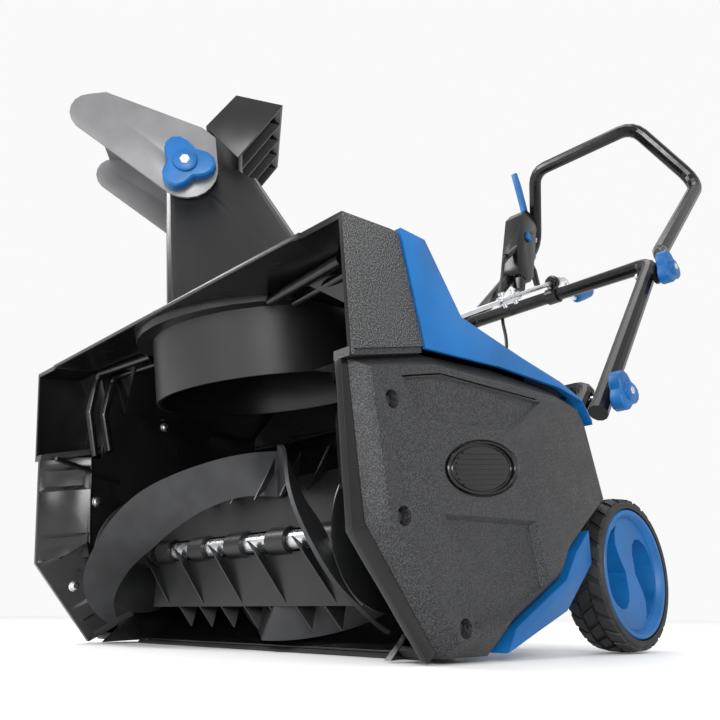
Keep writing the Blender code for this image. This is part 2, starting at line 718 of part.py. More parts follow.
def deflector_grip():
    """The hollow ribbed lift grip behind the hood, open on its underside."""
    half = HOOD_HALF_WIDTH - 0.0005
    outline = [(0.0412, 0.2530), (0.0100, 0.2850), (-0.0340, 0.2730), (0.0140, 0.2190),
               (0.0292, 0.2375)]
    grip = prism("deflector_grip", outline, -half, half)
    hollow = [(0.0325, 0.2530), (0.0090, 0.2805), (-0.0400, 0.2680), (0.0020, 0.2180),
              (0.0150, 0.2300)]
    bays = 4
    step = (2.0 * half - WALL) / bays
    for bay in range(bays):
        low = -half + WALL + bay * step
        cut(grip, prism("bay", hollow, low, low + step - WALL))
    return finish(in_chute(grip), "chute_plastic", deflector_pivot())


def deflector_pivot():
    local = Vector((0.0, DEFLECTOR_FORWARD, DEFLECTOR_UP))
    return Matrix.Translation(CHUTE_BASE) @ chute_frame() @ local


def lobed_knob(name, lobes, radius, waist, depth, bore):
    """A knob about local +Z with round lobes, a bored boss and a flat back at zero."""
    steps = 8 * lobes
    bm = bmesh.new()
    rings = []
    for height, grow in ((0.0, -0.0015), (0.002, 0.0), (depth - 0.002, 0.0), (depth, -0.002)):
        ring = []
        for step in range(steps):
            angle = 2.0 * math.pi * step / steps
            wave = 0.5 + 0.5 * math.cos(lobes * angle)
            reach = waist + (radius - waist) * wave ** 0.8 + grow
            ring.append(bm.verts.new((reach * math.cos(angle), reach * math.sin(angle), height)))
        rings.append(ring)
    for ring, other in zip(rings, rings[1:]):
        for step in range(steps):
            after = (step + 1) % steps
            bm.faces.new((ring[step], ring[after], other[after], other[step]))
    bm.faces.new(rings[0])
    bm.faces.new(rings[-1])
    knob = new_object(name, bm)
    return cut(knob, cylinder("knob_bore", (0, 0, -0.01), (0, 0, depth + 0.01), bore, 16))


def place_on_axis(obj, start, direction):
    obj.data.transform(axis_matrix(start, direction))
    return obj


def chute_across():
    return (chute_frame().to_3x3() @ Vector((1.0, 0.0, 0.0))).normalized()


def deflector_knob():
    knob = lobed_knob("deflector_knob", 3, 0.0275, 0.0165, 0.013, 0.0034)
    across = chute_across()
    start = deflector_pivot() + across * (HOOD_HALF_WIDTH + 0.0022)
    return finish(place_on_axis(knob, start, across), "blue_plastic", deflector_pivot())


def pivot_bolt(name, start, direction, length, head, bolt=0.0030):
    """A headed bolt whose head starts behind the start point."""
    profile = [(0.0, -0.003), (head, -0.003), (head, 0.0), (bolt, 0.0), (bolt, length),
               (0.0, length)]
    return turned(name, profile, start, direction, 16)


def deflector_bolt(name, side, length):
    across = chute_across() * side
    start = deflector_pivot() + across * 0.0490
    return finish(pivot_bolt(name, start, across, length, 0.0055), "zinc_steel")


# ---- chute crank ---------------------------------------------------------------------------------
CRANK_EYE = Vector((0.004, 0.524, 0.5215))
CRANK_FOOT = Vector((0.004, 0.1390, 0.3165))


def crank_direction():
    return (CRANK_EYE - CRANK_FOOT).normalized()


def crank_rod():
    """A zinc rod with a cranked end that carries the grip."""
    along = crank_direction()
    down = (Vector((0, 0, -1)) - along * Vector((0, 0, -1)).dot(along)).normalized()
    bend = CRANK_EYE + along * 0.045
    points = [CRANK_FOOT, bend, bend + down * 0.036, bend + down * 0.036 + along * 0.078]
    rod = tube("crank_rod", points, 0.0036, 0.010, sides=10)
    return finish(rod, "zinc_steel", CRANK_FOOT)


def crank_grip():
    along = crank_direction()
    down = (Vector((0, 0, -1)) - along * Vector((0, 0, -1)).dot(along)).normalized()
    start = CRANK_EYE + along * 0.058 + down * 0.036
    profile = [(0.0040, 0.0), (0.0068, 0.0), (0.0086, 0.004), (0.0092, 0.025), (0.0086, 0.050),
               (0.0068, 0.056), (0.0040, 0.056)]
    return finish(turned("crank_grip", profile, start, along, 20), "blue_plastic", start)


def crank_gear():
    """The worm on the rod's foot that turns the chute."""
    along = crank_direction()
    start = CRANK_FOOT - along * 0.0004
    profile = [(0.0, 0.0), (0.0075, 0.0)]
    turns = 5
    for index in range(turns):
        low = -0.0022 - index * 0.0044
        profile += [(0.0098, low), (0.0075, low - 0.0022)]
    profile += [(0.0075, -0.026), (0.0, -0.026)]
    return finish(turned("crank_gear", profile, start, along, 20), "dark_steel", CRANK_FOOT)


def crank_bearing():
    """The shroud-mounted post that holds the rod's lower end."""
    along = crank_direction()
    middle = CRANK_FOOT + along * 0.020
    post = turned("crank_bearing", [(0.0, -0.006), (0.010, -0.006), (0.010, 0.006),
                                    (0.0, 0.006)], middle, along, 20)
    leg = box("leg", (middle.x - 0.004, middle.y - 0.006, 0.256),
              (middle.x + 0.004, middle.y + 0.006, middle.z))
    join(post, leg)
    foot = hull("foot", [(middle.x + dx, y, z) for dx in (-0.014, 0.014)
                         for y, z in ((0.136, 0.272), (0.166, 0.236), (0.140, 0.282),
                                      (0.170, 0.244))])
    join(post, foot)
    cut(post, shroud_hump("shroud_tool", -GAP))
    cut(post, cylinder("rod_hole", middle - along * 0.05, middle + along * 0.05, 0.0041, 16))
    return finish(post, "chute_plastic")


def crank_bracket():
    """An eyelet clamped on the handle's crossbar, through which the rod runs."""
    along = crank_direction()
    eye = turned("crank_bracket", [(0.0, -0.006), (0.0100, -0.006), (0.0115, 0.0),
                                   (0.0100, 0.006), (0.0, 0.006)], CRANK_EYE, along, 20)
    bar = Vector((CRANK_EYE.x, *CROSSBAR))
    join(eye, cylinder("clamp", bar - Vector((0.009, 0, 0)), bar + Vector((0.009, 0, 0)),
                       0.0125, 20))
    join(eye, hull("web", [bar + Vector((dx, dy, 0.004)) for dx in (-0.006, 0.006)
                           for dy in (-0.007, 0.007)]
                   + [CRANK_EYE + Vector((dx, dy, -0.004)) for dx in (-0.006, 0.006)
                      for dy in (-0.005, 0.005)]))
    cut(eye, cylinder("bar_hole", bar - Vector((0.02, 0, 0)), bar + Vector((0.02, 0, 0)),
                      LOWER_TUBE_RADIUS + GAP, 24))
    cut(eye, cylinder("rod_hole", CRANK_EYE - along * 0.03, CRANK_EYE + along * 0.03, 0.0041, 16))
    return finish(eye, "painted_tube")


# ---- handle --------------------------------------------------------------------------------------
def bolt_hole(pivot, low, high):
    return cylinder("bolt_hole", (low, *pivot), (high, *pivot), 0.0036, 16)


def lower_handle():
    """The fixed U of thinner tube that carries the folding handle."""
    x = LOWER_TUBE_X
    foot = (0.1815, 0.0700)
    elbow = (0.1990, 0.0960)
    top = (0.3612, 0.2871)
    points = [(-x, *foot), (-x, *elbow), (-x, *top), (x, *top), (x, *elbow), (x, *foot)]
    handle = tube("lower_handle", points, LOWER_TUBE_RADIUS, 0.018)
    for side in (1, -1):
        low, high = sorted((side * 0.12, side * 0.155))
        cut(handle, bolt_hole(LOWER_PIVOT, low, high))
    return finish(handle, "painted_tube")


def middle_direction():
    return (Vector(CROSSBAR) - Vector(LOWER_PIVOT)).normalized()


def upper_pivot():
    return Vector(LOWER_PIVOT) + middle_direction() * UPPER_PIVOT_REACH


def upper_direction():
    return (Vector(HANDLE_CORNER) - upper_pivot()).normalized()


def mirror_stations(stations):
    """Carry on a half handle's stations across the middle plane."""
    return stations + [(Vector((-point.x, point.y, point.z)), half_a, half_b)
                       for point, half_a, half_b in stations[-2::-1]]


def middle_handle():
    """The folding part: two legs joined by the crossbar under the upper knobs."""
    foot = Vector(LOWER_PIVOT) - middle_direction() * 0.030
    corner = (LEG_X, *CROSSBAR)
    stations = []
    for point in rounded_path([(LEG_X, *foot), corner, (0.0, *CROSSBAR)], 0.020, 5):
        share = min(max((LEG_X - point.x) / 0.045, 0.0), 1.0)
        radius = LEG_RADIUS + (LOWER_TUBE_RADIUS - LEG_RADIUS) * share
        stations.append((point, radius, radius))
    handle = sweep("middle_handle", mirror_stations(stations))
    for side in (1, -1):
        low, high = sorted((side * 0.13, side * 0.20))
        cut(handle, bolt_hole(LOWER_PIVOT, low, high), bolt_hole(upper_pivot(), low, high))
    return finish(handle, "painted_tube", (0, *LOWER_PIVOT))


def upper_loop(name, grow=0.0):
    """The top loop; its lower ends are flattened and lie outside the middle legs."""
    tab_x = LEG_X + LEG_RADIUS + 0.0042
    tab_half, tab_width = 0.0030, 0.0125
    stations = []
    for reach, x, half_x, half_side in ((-0.022, tab_x, tab_half, tab_width * 0.7),
                                        (-0.014, tab_x, tab_half, tab_width),
                                        (0.014, tab_x, tab_half, tab_width),
                                        (0.044, tab_x - 0.001, 0.0045, 0.0125),
                                        (0.064, LEG_X + 0.004, 0.0100, 0.0118),
                                        (0.078, LEG_X, LEG_RADIUS, LEG_RADIUS)):
        place = upper_pivot() + upper_direction() * reach
        stations.append((Vector((x, place.x, place.y)), half_x + grow, half_side + grow))
    corner = (LEG_X, *HANDLE_CORNER)
    top = (HANDLE_TOP_HALF, *HANDLE_TOP)
    bends = rounded_path([stations[-1][0], corner, top, (0.0, *HANDLE_TOP)], 0.035, 4)
    stations += [(point, LEG_RADIUS + grow, LEG_RADIUS + grow) for point in bends[1:]]
    return sweep(name, mirror_stations(stations))


def upper_handle():
    handle = upper_loop("upper_handle")
    for side in (1, -1):
        low, high = sorted((side * 0.15, side * 0.20))
        cut(handle, bolt_hole(upper_pivot(), low, high))
    return finish(handle, "painted_tube", (0, *upper_pivot()))


def handle_knob(name, side, pivot, x):
    knob = lobed_knob(name, 3, 0.0250, 0.0160, 0.0160, 0.0034)
    return finish(place_on_axis(knob, (side * x, *pivot), (side, 0, 0)), "blue_plastic",
                  (side * x, *pivot))


def handle_bolt(name, side, pivot, head_x, end_x):
    start = (side * head_x, *pivot)
    return finish(pivot_bolt(name, start, (side, 0, 0), end_x - head_x, 0.0065), "zinc_steel",
                  start)


# ---- controls -----------------------------------------------------------------------------------
SWITCH_FOOT = Vector((-0.150, 0.660, 0.622))
SWITCH_HEAD = Vector((-0.150, 0.694, 0.772))
GLAND_ROOT = Vector((0.0080, -0.0180, 0.0600))      # in the casing's own frame
GLAND_TIP = Vector((0.0080, -0.0460, 0.0220))


def switch_frame():
    """A frame at the casing's foot: X across, Y towards the operator, Z up the casing."""
    z_axis = (SWITCH_HEAD - SWITCH_FOOT).normalized()
    x_axis = Vector((1.0, 0.0, 0.0))
    turn = Matrix((x_axis, z_axis.cross(x_axis), z_axis)).transposed().to_4x4()
    return Matrix.Translation(SWITCH_FOOT) @ turn


def switch_box():
    """The switch casing moulded round the left leg, with its cable gland and inlet."""
    case = hull("switch_box", [(x, y, z) for x in (-0.0190, 0.0190)
                               for y, z in ((-0.024, 0.020), (-0.016, 0.000), (0.018, 0.000),
                                            (0.026, 0.016), (0.026, 0.130), (0.014, 0.152),
                                            (-0.012, 0.152), (-0.024, 0.132))])
    join(case, cylinder("gland", GLAND_ROOT, GLAND_TIP, 0.0064, 12))
    join(case, hull("inlet", [(x, y, z) for x in (0.0005, 0.0165)
                              for y, z in ((-0.0080, 0.010), (0.0080, 0.010),
                                           (-0.0070, -0.026), (0.0070, -0.026))]))
    bore = (GLAND_ROOT - GLAND_TIP).normalized() * 0.014
    cut(case, cylinder("gland_bore", GLAND_TIP - bore, GLAND_TIP + bore, 0.0035, 12))
    cut(case, box("lever_slot", (-0.0060, 0.006, 0.104), (0.0060, 0.040, 0.170)))
    cut(case, box("button_slot", (0.0080, -0.008, 0.085), (0.0300, 0.006, 0.100)))
    case.data.transform(switch_frame())
    cut(case, upper_loop("loop_tool", GAP))
    return finish(case, "housing_plastic")


def lever_pivot():
    return switch_frame() @ Vector((0.0, 0.0180, 0.1200))


def bail_lever():
    """The curved blue start lever hinged in the switch casing's slot."""
    outline = [(0.0120, 0.1080), (0.0240, 0.1080), (0.0260, 0.1250), (0.0220, 0.1500),
               (0.0080, 0.1800), (-0.0160, 0.2180), (-0.0330, 0.2380), (-0.0380, 0.2340),
               (-0.0230, 0.2110), (0.0000, 0.1740), (0.0105, 0.1480), (0.0120, 0.1300)]
    lever = prism("bail_lever", outline, -0.0054, 0.0054)
    lever.data.transform(switch_frame())
    return finish(lever, "blue_plastic", lever_pivot())


def safety_button():
    """The lock-off button that slides in from the casing's inner side."""
    button = box("safety_button", (0.0130, -0.0075, 0.0855), (0.0230, 0.0055, 0.0995))
    button.data.transform(switch_frame())
    return finish(button, "blue_plastic", switch_frame() @ Vector((0.018, -0.001, 0.0925)))


def cord_hook():
    """The cord-retaining plate that hangs from a clamp on the left leg."""
    place = upper_pivot() + upper_direction() * 0.3120
    middle = Vector((-LEG_X, place.x, place.y))
    along = Vector((0.0, upper_direction().x, upper_direction().y))
    hook = pipe("cord_hook", middle - along * 0.007, middle + along * 0.007, 0.0150,
                LEG_RADIUS + GAP, 20)
    outline = [(0.0138, -0.0052), (0.0054, -0.0138), (0.0100, -0.0360), (0.0200, -0.0560),
               (0.0360, -0.0500), (0.0270, -0.0200)]
    plate = prism("plate", [(middle.y + y, middle.z + z) for y, z in outline],
                  middle.x - 0.0020, middle.x + 0.0020)
    slot_outline = [(0.0150, -0.0200), (0.0200, -0.0200), (0.0235, -0.0400), (0.0300, -0.0600),
                    (0.0250, -0.0620), (0.0185, -0.0420)]
    slot = prism("j_slot", [(middle.y + y, middle.z + z) for y, z in slot_outline],
                 middle.x - 0.0100, middle.x + 0.0100)
    join(hook, plate)
    cut(hook, slot)
    return finish(hook, "painted_tube")


def smooth_route(points, count):
    """Points on a Catmull-Rom curve through the route's own points."""
    route = [Vector(point) for point in points]
    route = [route[0] * 2.0 - route[1]] + route + [route[-1] * 2.0 - route[-2]]
    spans = len(route) - 3
    result = []
    for step in range(count + 1):
        place = min(step * spans / count, spans - 1e-9)
        index = int(place)
        t = place - index
        a, b, c, d = route[index:index + 4]
        result.append(0.5 * (b * 2.0 + (c - a) * t + (a * 2.0 - b * 5.0 + c * 4.0 - d) * t * t
                             + (b * 3.0 - a - c * 3.0 + d) * t * t * t))
    return result


def cable(name, points, count, radius=0.0028):
    curve = bpy.data.curves.new(name, "CURVE")
    curve.dimensions = "3D"
    curve.bevel_depth = radius
    curve.bevel_resolution = 2
    curve.use_fill_caps = True
    spline = curve.splines.new("POLY")
    route = smooth_route(points, count)
    spline.points.add(len(route) - 1)
    for place, point in zip(spline.points, route):
        place.co = (*point, 1.0)
    curve.materials.append(MATERIALS["cable_rubber"])
    obj = bpy.data.objects.new(name, curve)
    bpy.context.scene.collection.objects.link(obj)
    return obj


CABLE_CLIP = Vector((-0.101, 0.5370, 0.5000))     # where the lead passes the crossbar


def upper_cable():
    """The lead's stretch from the switch casing's gland to the crossbar."""
    outward = (GLAND_TIP - GLAND_ROOT).normalized()
    start = switch_frame() @ (GLAND_TIP - outward * 0.0120)
    below = switch_frame() @ (GLAND_TIP + outward * 0.0100)
    route = [start, switch_frame() @ GLAND_TIP, below, (-0.139, 0.5980, 0.6050), (-0.118, 0.5560, 0.5480),
             CABLE_CLIP + Vector((0.0, 0.0, 0.0130)), CABLE_CLIP + Vector((0.0, 0.0, 0.0003))]
    return cable("switch_cable_upper", route, 24)


def lower_cable():
    """The lead's stretch from the crossbar down into the shroud's rear."""
    route = [CABLE_CLIP - Vector((0.0, 0.0, 0.0003)), CABLE_CLIP - Vector((0.0, 0.0, 0.0130)),
             (-0.096, 0.5350, 0.4400),
             (-0.092, 0.4980, 0.3550), (-0.088, 0.4100, 0.2780), (-0.084, 0.3000, 0.2450),
             (-0.080, 0.2250, 0.2330), (-0.080, 0.1800, 0.2230)]
    return cable("switch_cable_lower", route, 40)


# ---- wheels --------------------------------------------------------------------------------------
def tyre(name, side):
    """A ring of rubber with rounded shoulders, seated on the wheel's disc."""
    low = HALF_WIDTH - TYRE_WIDTH
    profile = [(0.0500, 0.001), (0.0600, 0.0), (TYRE_RADIUS, 0.005), (TYRE_RADIUS, 0.033),
               (0.0600, 0.038), (DISC_RADIUS + GAP, 0.038), (DISC_RADIUS + GAP, 0.006),
               (0.0500, 0.006)]
    return finish(turned(name, profile, (side * low, WHEEL_Y, WHEEL_Z), (side, 0, 0), 36),
                  "rubber", (side * 0.226, WHEEL_Y, WHEEL_Z))


def wheel_hub(name, side):
    """The blue disc wheel with a raised rim, a boss and a deep dished face."""
    low = HALF_WIDTH - TYRE_WIDTH
    profile = [(0.0070, 0.000), (0.0130, 0.000), (0.0130, 0.0200), (0.0460, 0.0200),
               (0.0460, 0.0064), (DISC_RADIUS, 0.0064), (DISC_RADIUS, 0.0375),
               (0.0490, 0.0375), (0.0465, 0.0300), (0.0200, 0.0300), (0.0150, 0.0340),
               (0.0070, 0.0340)]
    hub = turned(name, profile, (side * low, WHEEL_Y, WHEEL_Z), (side, 0, 0), 36)
    for turn in (90.0, 270.0):
        slot = (arc((WHEEL_Y, WHEEL_Z), 0.0380, turn + 62.0, turn + 132.0, 6)
                + arc((WHEEL_Y, WHEEL_Z), 0.0255, turn + 126.0, turn + 68.0, 6))
        low_x, high_x = sorted((side * (low + 0.010), side * (low + 0.040)))
        cut(hub, prism("slot", slot, low_x, high_x))
    return finish(hub, "blue_plastic", (side * 0.226, WHEEL_Y, WHEEL_Z))


def axle():
    """The steel axle across the machine, with a shoulder inside each wheel."""
    rod = cylinder("wheel_axle", (-0.2440, WHEEL_Y, WHEEL_Z), (0.2440, WHEEL_Y, WHEEL_Z),
                   0.0064, 20)
    for side in (1, -1):
        low, high = sorted((side * 0.199, side * 0.206))
        join(rod, cylinder("shoulder", (low, WHEEL_Y, WHEEL_Z), (high, WHEEL_Y, WHEEL_Z),
                           0.0110, 20))
    return finish(rod, "dark_steel")


def axle_bracket(name, side):
    """The pressed plate that carries the axle and clamps the lower handle to the body."""
    low, high = sorted((side * 0.1500, side * 0.1600))
    outline = [(0.1610, 0.0700), (0.1610, 0.1050), (0.2050, 0.1160), (0.2220, 0.0900),
               (0.2220, 0.0560), (0.2020, 0.0480)]
    plate = prism(name, outline, low, high)
    cut(plate, cylinder("axle_hole", (low - 0.02, WHEEL_Y, WHEEL_Z),
                        (high + 0.02, WHEEL_Y, WHEEL_Z), 0.0068, 20))
    return finish(plate, "housing_plastic")


# ---- the whole machine ---------------------------------------------------------------------------
def build():
    clear_scene()
    for name, values in PALETTE.items():
        MATERIALS[name] = make_material(name, *values)
    auger_housing()
    upper_shroud()
    rear_cover()
    belly_cover()
    scraper_bar()
    auger_shaft()
    auger_rotor()
    pulley("auger_pulley", AUGER_Y, AUGER_Z, AUGER_PULLEY_RADIUS, SHAFT_RADIUS + GAP)
    pulley("motor_pulley", MOTOR_Y, MOTOR_Z, MOTOR_PULLEY_RADIUS, 0.005 + GAP)
    drive_belt()
    motor()
    motor_shaft()
    chute_collar()
    chute_ring()
    chute_body()
    deflector_hood()
    deflector_grip()
    deflector_knob()
    deflector_bolt("deflector_bolt", 1, 0.0275)
    deflector_bolt("deflector_pin", -1, 0.0190)
    crank_rod()
    crank_grip()
    crank_gear()
    crank_bearing()
    crank_bracket()
    lower_handle()
    middle_handle()
    upper_handle()
    switch_box()
    bail_lever()
    safety_button()
    cord_hook()
    upper_cable()
    lower_cable()
    axle()
    for index, place in enumerate(cover_screw_places(), start=1):
        cover_screw(f"side_cover_screw_{index}", 1, place)
    for side, label in ((1, "right"), (-1, "left")):
        side_cover(f"side_cover_{label}", side)
        bearing(f"auger_bearing_{label}", side)
        auger_flight(f"auger_flight_{label}_a", side, 80.0)
        auger_flight(f"auger_flight_{label}_b", side, 260.0)
        handle_knob(f"lower_knob_{label}", side, LOWER_PIVOT, 0.1765)
        handle_bolt(f"lower_bolt_{label}", side, LOWER_PIVOT, 0.1265, 0.1900)
        handle_knob(f"upper_knob_{label}", side, upper_pivot(), 0.1820)
        handle_bolt(f"upper_bolt_{label}", side, upper_pivot(), 0.1500, 0.1950)
        tyre(f"tyre_{label}", side)
        wheel_hub(f"wheel_hub_{label}", side)
        axle_bracket(f"axle_bracket_{label}", side)


build()
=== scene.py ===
"""Looks of the corded single-stage snow thrower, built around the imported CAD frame."""
import json
import math

import bmesh
import bpy
from mathutils import Matrix, Vector


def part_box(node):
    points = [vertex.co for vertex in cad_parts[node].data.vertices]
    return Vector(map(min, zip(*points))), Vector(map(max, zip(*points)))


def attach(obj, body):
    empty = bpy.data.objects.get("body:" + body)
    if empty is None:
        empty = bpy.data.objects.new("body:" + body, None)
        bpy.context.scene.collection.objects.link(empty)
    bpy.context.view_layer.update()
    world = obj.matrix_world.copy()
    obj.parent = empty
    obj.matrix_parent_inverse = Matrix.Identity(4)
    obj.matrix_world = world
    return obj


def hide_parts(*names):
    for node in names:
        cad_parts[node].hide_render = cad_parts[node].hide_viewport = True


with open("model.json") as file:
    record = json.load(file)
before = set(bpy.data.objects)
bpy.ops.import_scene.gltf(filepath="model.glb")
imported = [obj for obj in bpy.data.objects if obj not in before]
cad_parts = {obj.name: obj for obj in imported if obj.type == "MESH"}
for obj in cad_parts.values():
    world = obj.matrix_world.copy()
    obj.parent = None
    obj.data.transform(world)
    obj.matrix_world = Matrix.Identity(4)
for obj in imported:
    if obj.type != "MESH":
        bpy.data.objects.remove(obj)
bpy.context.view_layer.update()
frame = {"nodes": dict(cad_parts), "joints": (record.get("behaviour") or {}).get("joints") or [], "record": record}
NODES = frame["nodes"]
BODY_OF = {name: body for body, names in frame["record"]["behaviour"]["bodies"].items()
           for name in names}
SLOT_OF = {part["node"]: part["material_slot"] for part in frame["record"]["subparts"]}

AUGER = Vector((0.0, -0.027, 0.087))
WHEEL_Y, WHEEL_Z = 0.208, 0.0645
WHEEL_IN = 0.207                    # inner faces of the wheels, from the middle


# ---- camera, lights and floor ----------------------------------------------------------------
def look_from(obj, place, forward, up):
    back = -Vector(forward).normalized()
    right = Vector(up).cross(back).normalized()
    true_up = back.cross(right)
    obj.matrix_world = (Matrix.Translation(Vector(place))
                        @ Matrix((right, true_up, back)).transposed().to_4x4())


def add_camera():
    data = bpy.data.cameras.new("camera")
    data.sensor_width = 36.0
    data.lens = 37.0
    data.clip_start = 0.01
    camera = bpy.data.objects.new("camera", data)
    bpy.context.scene.collection.objects.link(camera)
    look_from(camera, (0.5545, -0.4228, 0.0289), (-0.6809, 0.6561, 0.3254),
              (0.2293, -0.2310, 0.9455))
    bpy.context.scene.camera = camera


def add_light(name, place, target, size, power):
    data = bpy.data.lights.new(name, "AREA")
    data.shape = "SQUARE"
    data.size = size
    data.energy = power
    light = bpy.data.objects.new(name, data)
    bpy.context.scene.collection.objects.link(light)
    look_from(light, place, Vector(target) - Vector(place), (0.02, 0.03, 1.0))


def add_stage():
    scene = bpy.context.scene
    scene.view_settings.view_transform = "Standard"
    world = bpy.data.worlds.new("studio")
    world.use_nodes = True
    background = world.node_tree.nodes["Background"]
    background.inputs["Color"].default_value = (1.0, 1.0, 1.0, 1.0)
    background.inputs["Strength"].default_value = 0.95
    scene.world = world

    mesh = bpy.data.meshes.new("floor")
    bm = bmesh.new()
    bmesh.ops.create_grid(bm, x_segments=1, y_segments=1, size=6.0)
    bm.to_mesh(mesh)
    bm.free()
    floor = bpy.data.objects.new("floor", mesh)
    floor.location = (0.0, 0.0, -0.0004)
    scene.collection.objects.link(floor)
    surface = bpy.data.materials.new("floor_white")
    surface.use_nodes = True
    shader = surface.node_tree.nodes["Principled BSDF"]
    shader.inputs["Base Color"].default_value = (0.93, 0.93, 0.93, 1.0)
    shader.inputs["Roughness"].default_value = 0.55
    mesh.materials.append(surface)

    add_light("key", (-1.3, -0.9, 1.5), (0.0, 0.0, 0.35), 0.9, 34.0)
    add_light("side", (1.40, -1.10, 0.50), (0.24, -0.11, 0.13), 0.55, 24.0)
    add_light("front_low", (0.35, -1.7, 0.5), (0.0, -0.1, 0.12), 0.5, 7.0)
    add_light("top", (0.1, 0.5, 2.2), (0.0, 0.2, 0.2), 1.2, 12.0)


# ---- materials ---------------------------------------------------------------------------------
class Surface:
    """A Principled material whose colour, roughness and bump come from procedural noise."""

    def __init__(self, name, colour, roughness, metallic=0.0, specular=0.5):
        self.material = bpy.data.materials.new(name)
        self.material.use_nodes = True
        self.tree = self.material.node_tree
        self.shader = self.tree.nodes["Principled BSDF"]
        self.colour = colour
        self.roughness = roughness
        self.shader.inputs["Metallic"].default_value = metallic
        self.shader.inputs["Specular IOR Level"].default_value = specular
        self.coords = self.tree.nodes.new("ShaderNodeTexCoord").outputs["Object"]
        self.height = None

    def noise(self, scale, detail, roughness=0.5):
        node = self.tree.nodes.new("ShaderNodeTexNoise")
        node.inputs["Scale"].default_value = scale
        node.inputs["Detail"].default_value = detail
        node.inputs["Roughness"].default_value = roughness
        self.tree.links.new(self.coords, node.inputs["Vector"])
        return node.outputs["Fac"]

    def ramp(self, source, low_at, low, high_at, high):
        node = self.tree.nodes.new("ShaderNodeValToRGB")
        node.color_ramp.elements[0].position = low_at
        node.color_ramp.elements[0].color = (*low, 1.0)
        node.color_ramp.elements[1].position = high_at
        node.color_ramp.elements[1].color = (*high, 1.0)
        self.tree.links.new(source, node.inputs["Fac"])
        return node.outputs["Color"]

    def vary_colour(self, source, dark, light, low_at=0.3, high_at=0.7):
        low = tuple(c * dark for c in self.colour)
        high = tuple(min(c * light, 1.0) for c in self.colour)
        self.tree.links.new(self.ramp(source, low_at, low, high_at, high),
                            self.shader.inputs["Base Color"])

    def vary_roughness(self, source, spread):
        node = self.tree.nodes.new("ShaderNodeMapRange")
        node.inputs["From Min"].default_value = 0.3
        node.inputs["From Max"].default_value = 0.7
        node.inputs["To Min"].default_value = max(self.roughness - spread, 0.03)
        node.inputs["To Max"].default_value = min(self.roughness + spread, 1.0)
        self.tree.links.new(source, node.inputs["Value"])
        self.tree.links.new(node.outputs["Result"], self.shader.inputs["Roughness"])

    def bump(self, source, strength, distance):
        node = self.tree.nodes.new("ShaderNodeBump")
        node.inputs["Strength"].default_value = strength
        node.inputs["Distance"].default_value = distance
        self.tree.links.new(source, node.inputs["Height"])
        if self.height is not None:
            self.tree.links.new(self.height, node.inputs["Normal"])
        self.height = node.outputs["Normal"]
        self.tree.links.new(self.height, self.shader.inputs["Normal"])


def moulded(name, colour, roughness, specular=0.5):
    """Smooth moulded plastic: slow flow waves, a fine skin and faint scuffs."""
    surface = Surface(name, colour, roughness, specular=specular)
    surface.vary_colour(surface.noise(22.0, 4.0), 0.82, 1.22)
    surface.vary_roughness(surface.noise(45.0, 4.0, roughness=0.55), 0.04)
    surface.bump(surface.noise(9.0, 0.0), 0.25, 0.0010)
    surface.bump(surface.noise(900.0, 2.0), 0.30, 0.00012)
    return surface.material


def grained(name, colour, roughness, scale, depth, dark, light):
    """Spark-eroded plastic: rounded grains with painted highlights; the grain tops are painted lighter and the
    hollows darker, standing in for the light they catch.
    """
    surface = Surface(name, colour, roughness, specular=0.36)
    grain = surface.noise(scale, 2.0, roughness=0.45)
    # painted light: the colour follows the same field as the bump, so grain tops are painted light and grain
    # hollows painted dark
    surface.vary_colour(grain, dark, light, 0.44, 0.60)
    surface.vary_roughness(surface.noise(45.0, 4.0), 0.06)
    surface.bump(grain, 0.85, depth)
    return surface.material


def metal(name, colour, roughness):
    """Bare or plated metal, faintly mottled."""
    surface = Surface(name, colour, roughness, metallic=1.0)
    surface.vary_colour(surface.noise(30.0, 4.0), 0.86, 1.08)
    surface.vary_roughness(surface.noise(160.0, 5.0), 0.10)
    surface.bump(surface.noise(700.0, 2.0), 0.25, 0.00008)
    return surface.material


def coated(name, colour, roughness):
    """Powder coat on tube: glossy with an orange-peel skin."""
    surface = Surface(name, colour, roughness, specular=0.30)
    surface.vary_colour(surface.noise(18.0, 3.0), 0.85, 1.25)
    surface.vary_roughness(surface.noise(70.0, 5.0), 0.06)
    surface.bump(surface.noise(520.0, 1.0), 0.30, 0.00012)
    return surface.material


def soft_rubber(name, colour, roughness):
    """Matt rubber with a fine crumb."""
    surface = Surface(name, colour, roughness, specular=0.35)
    surface.vary_colour(surface.noise(40.0, 5.0), 0.70, 1.45)
    surface.vary_roughness(surface.noise(110.0, 5.0), 0.08)
    surface.bump(surface.noise(1500.0, 3.0), 0.50, 0.00015)
    return surface.material


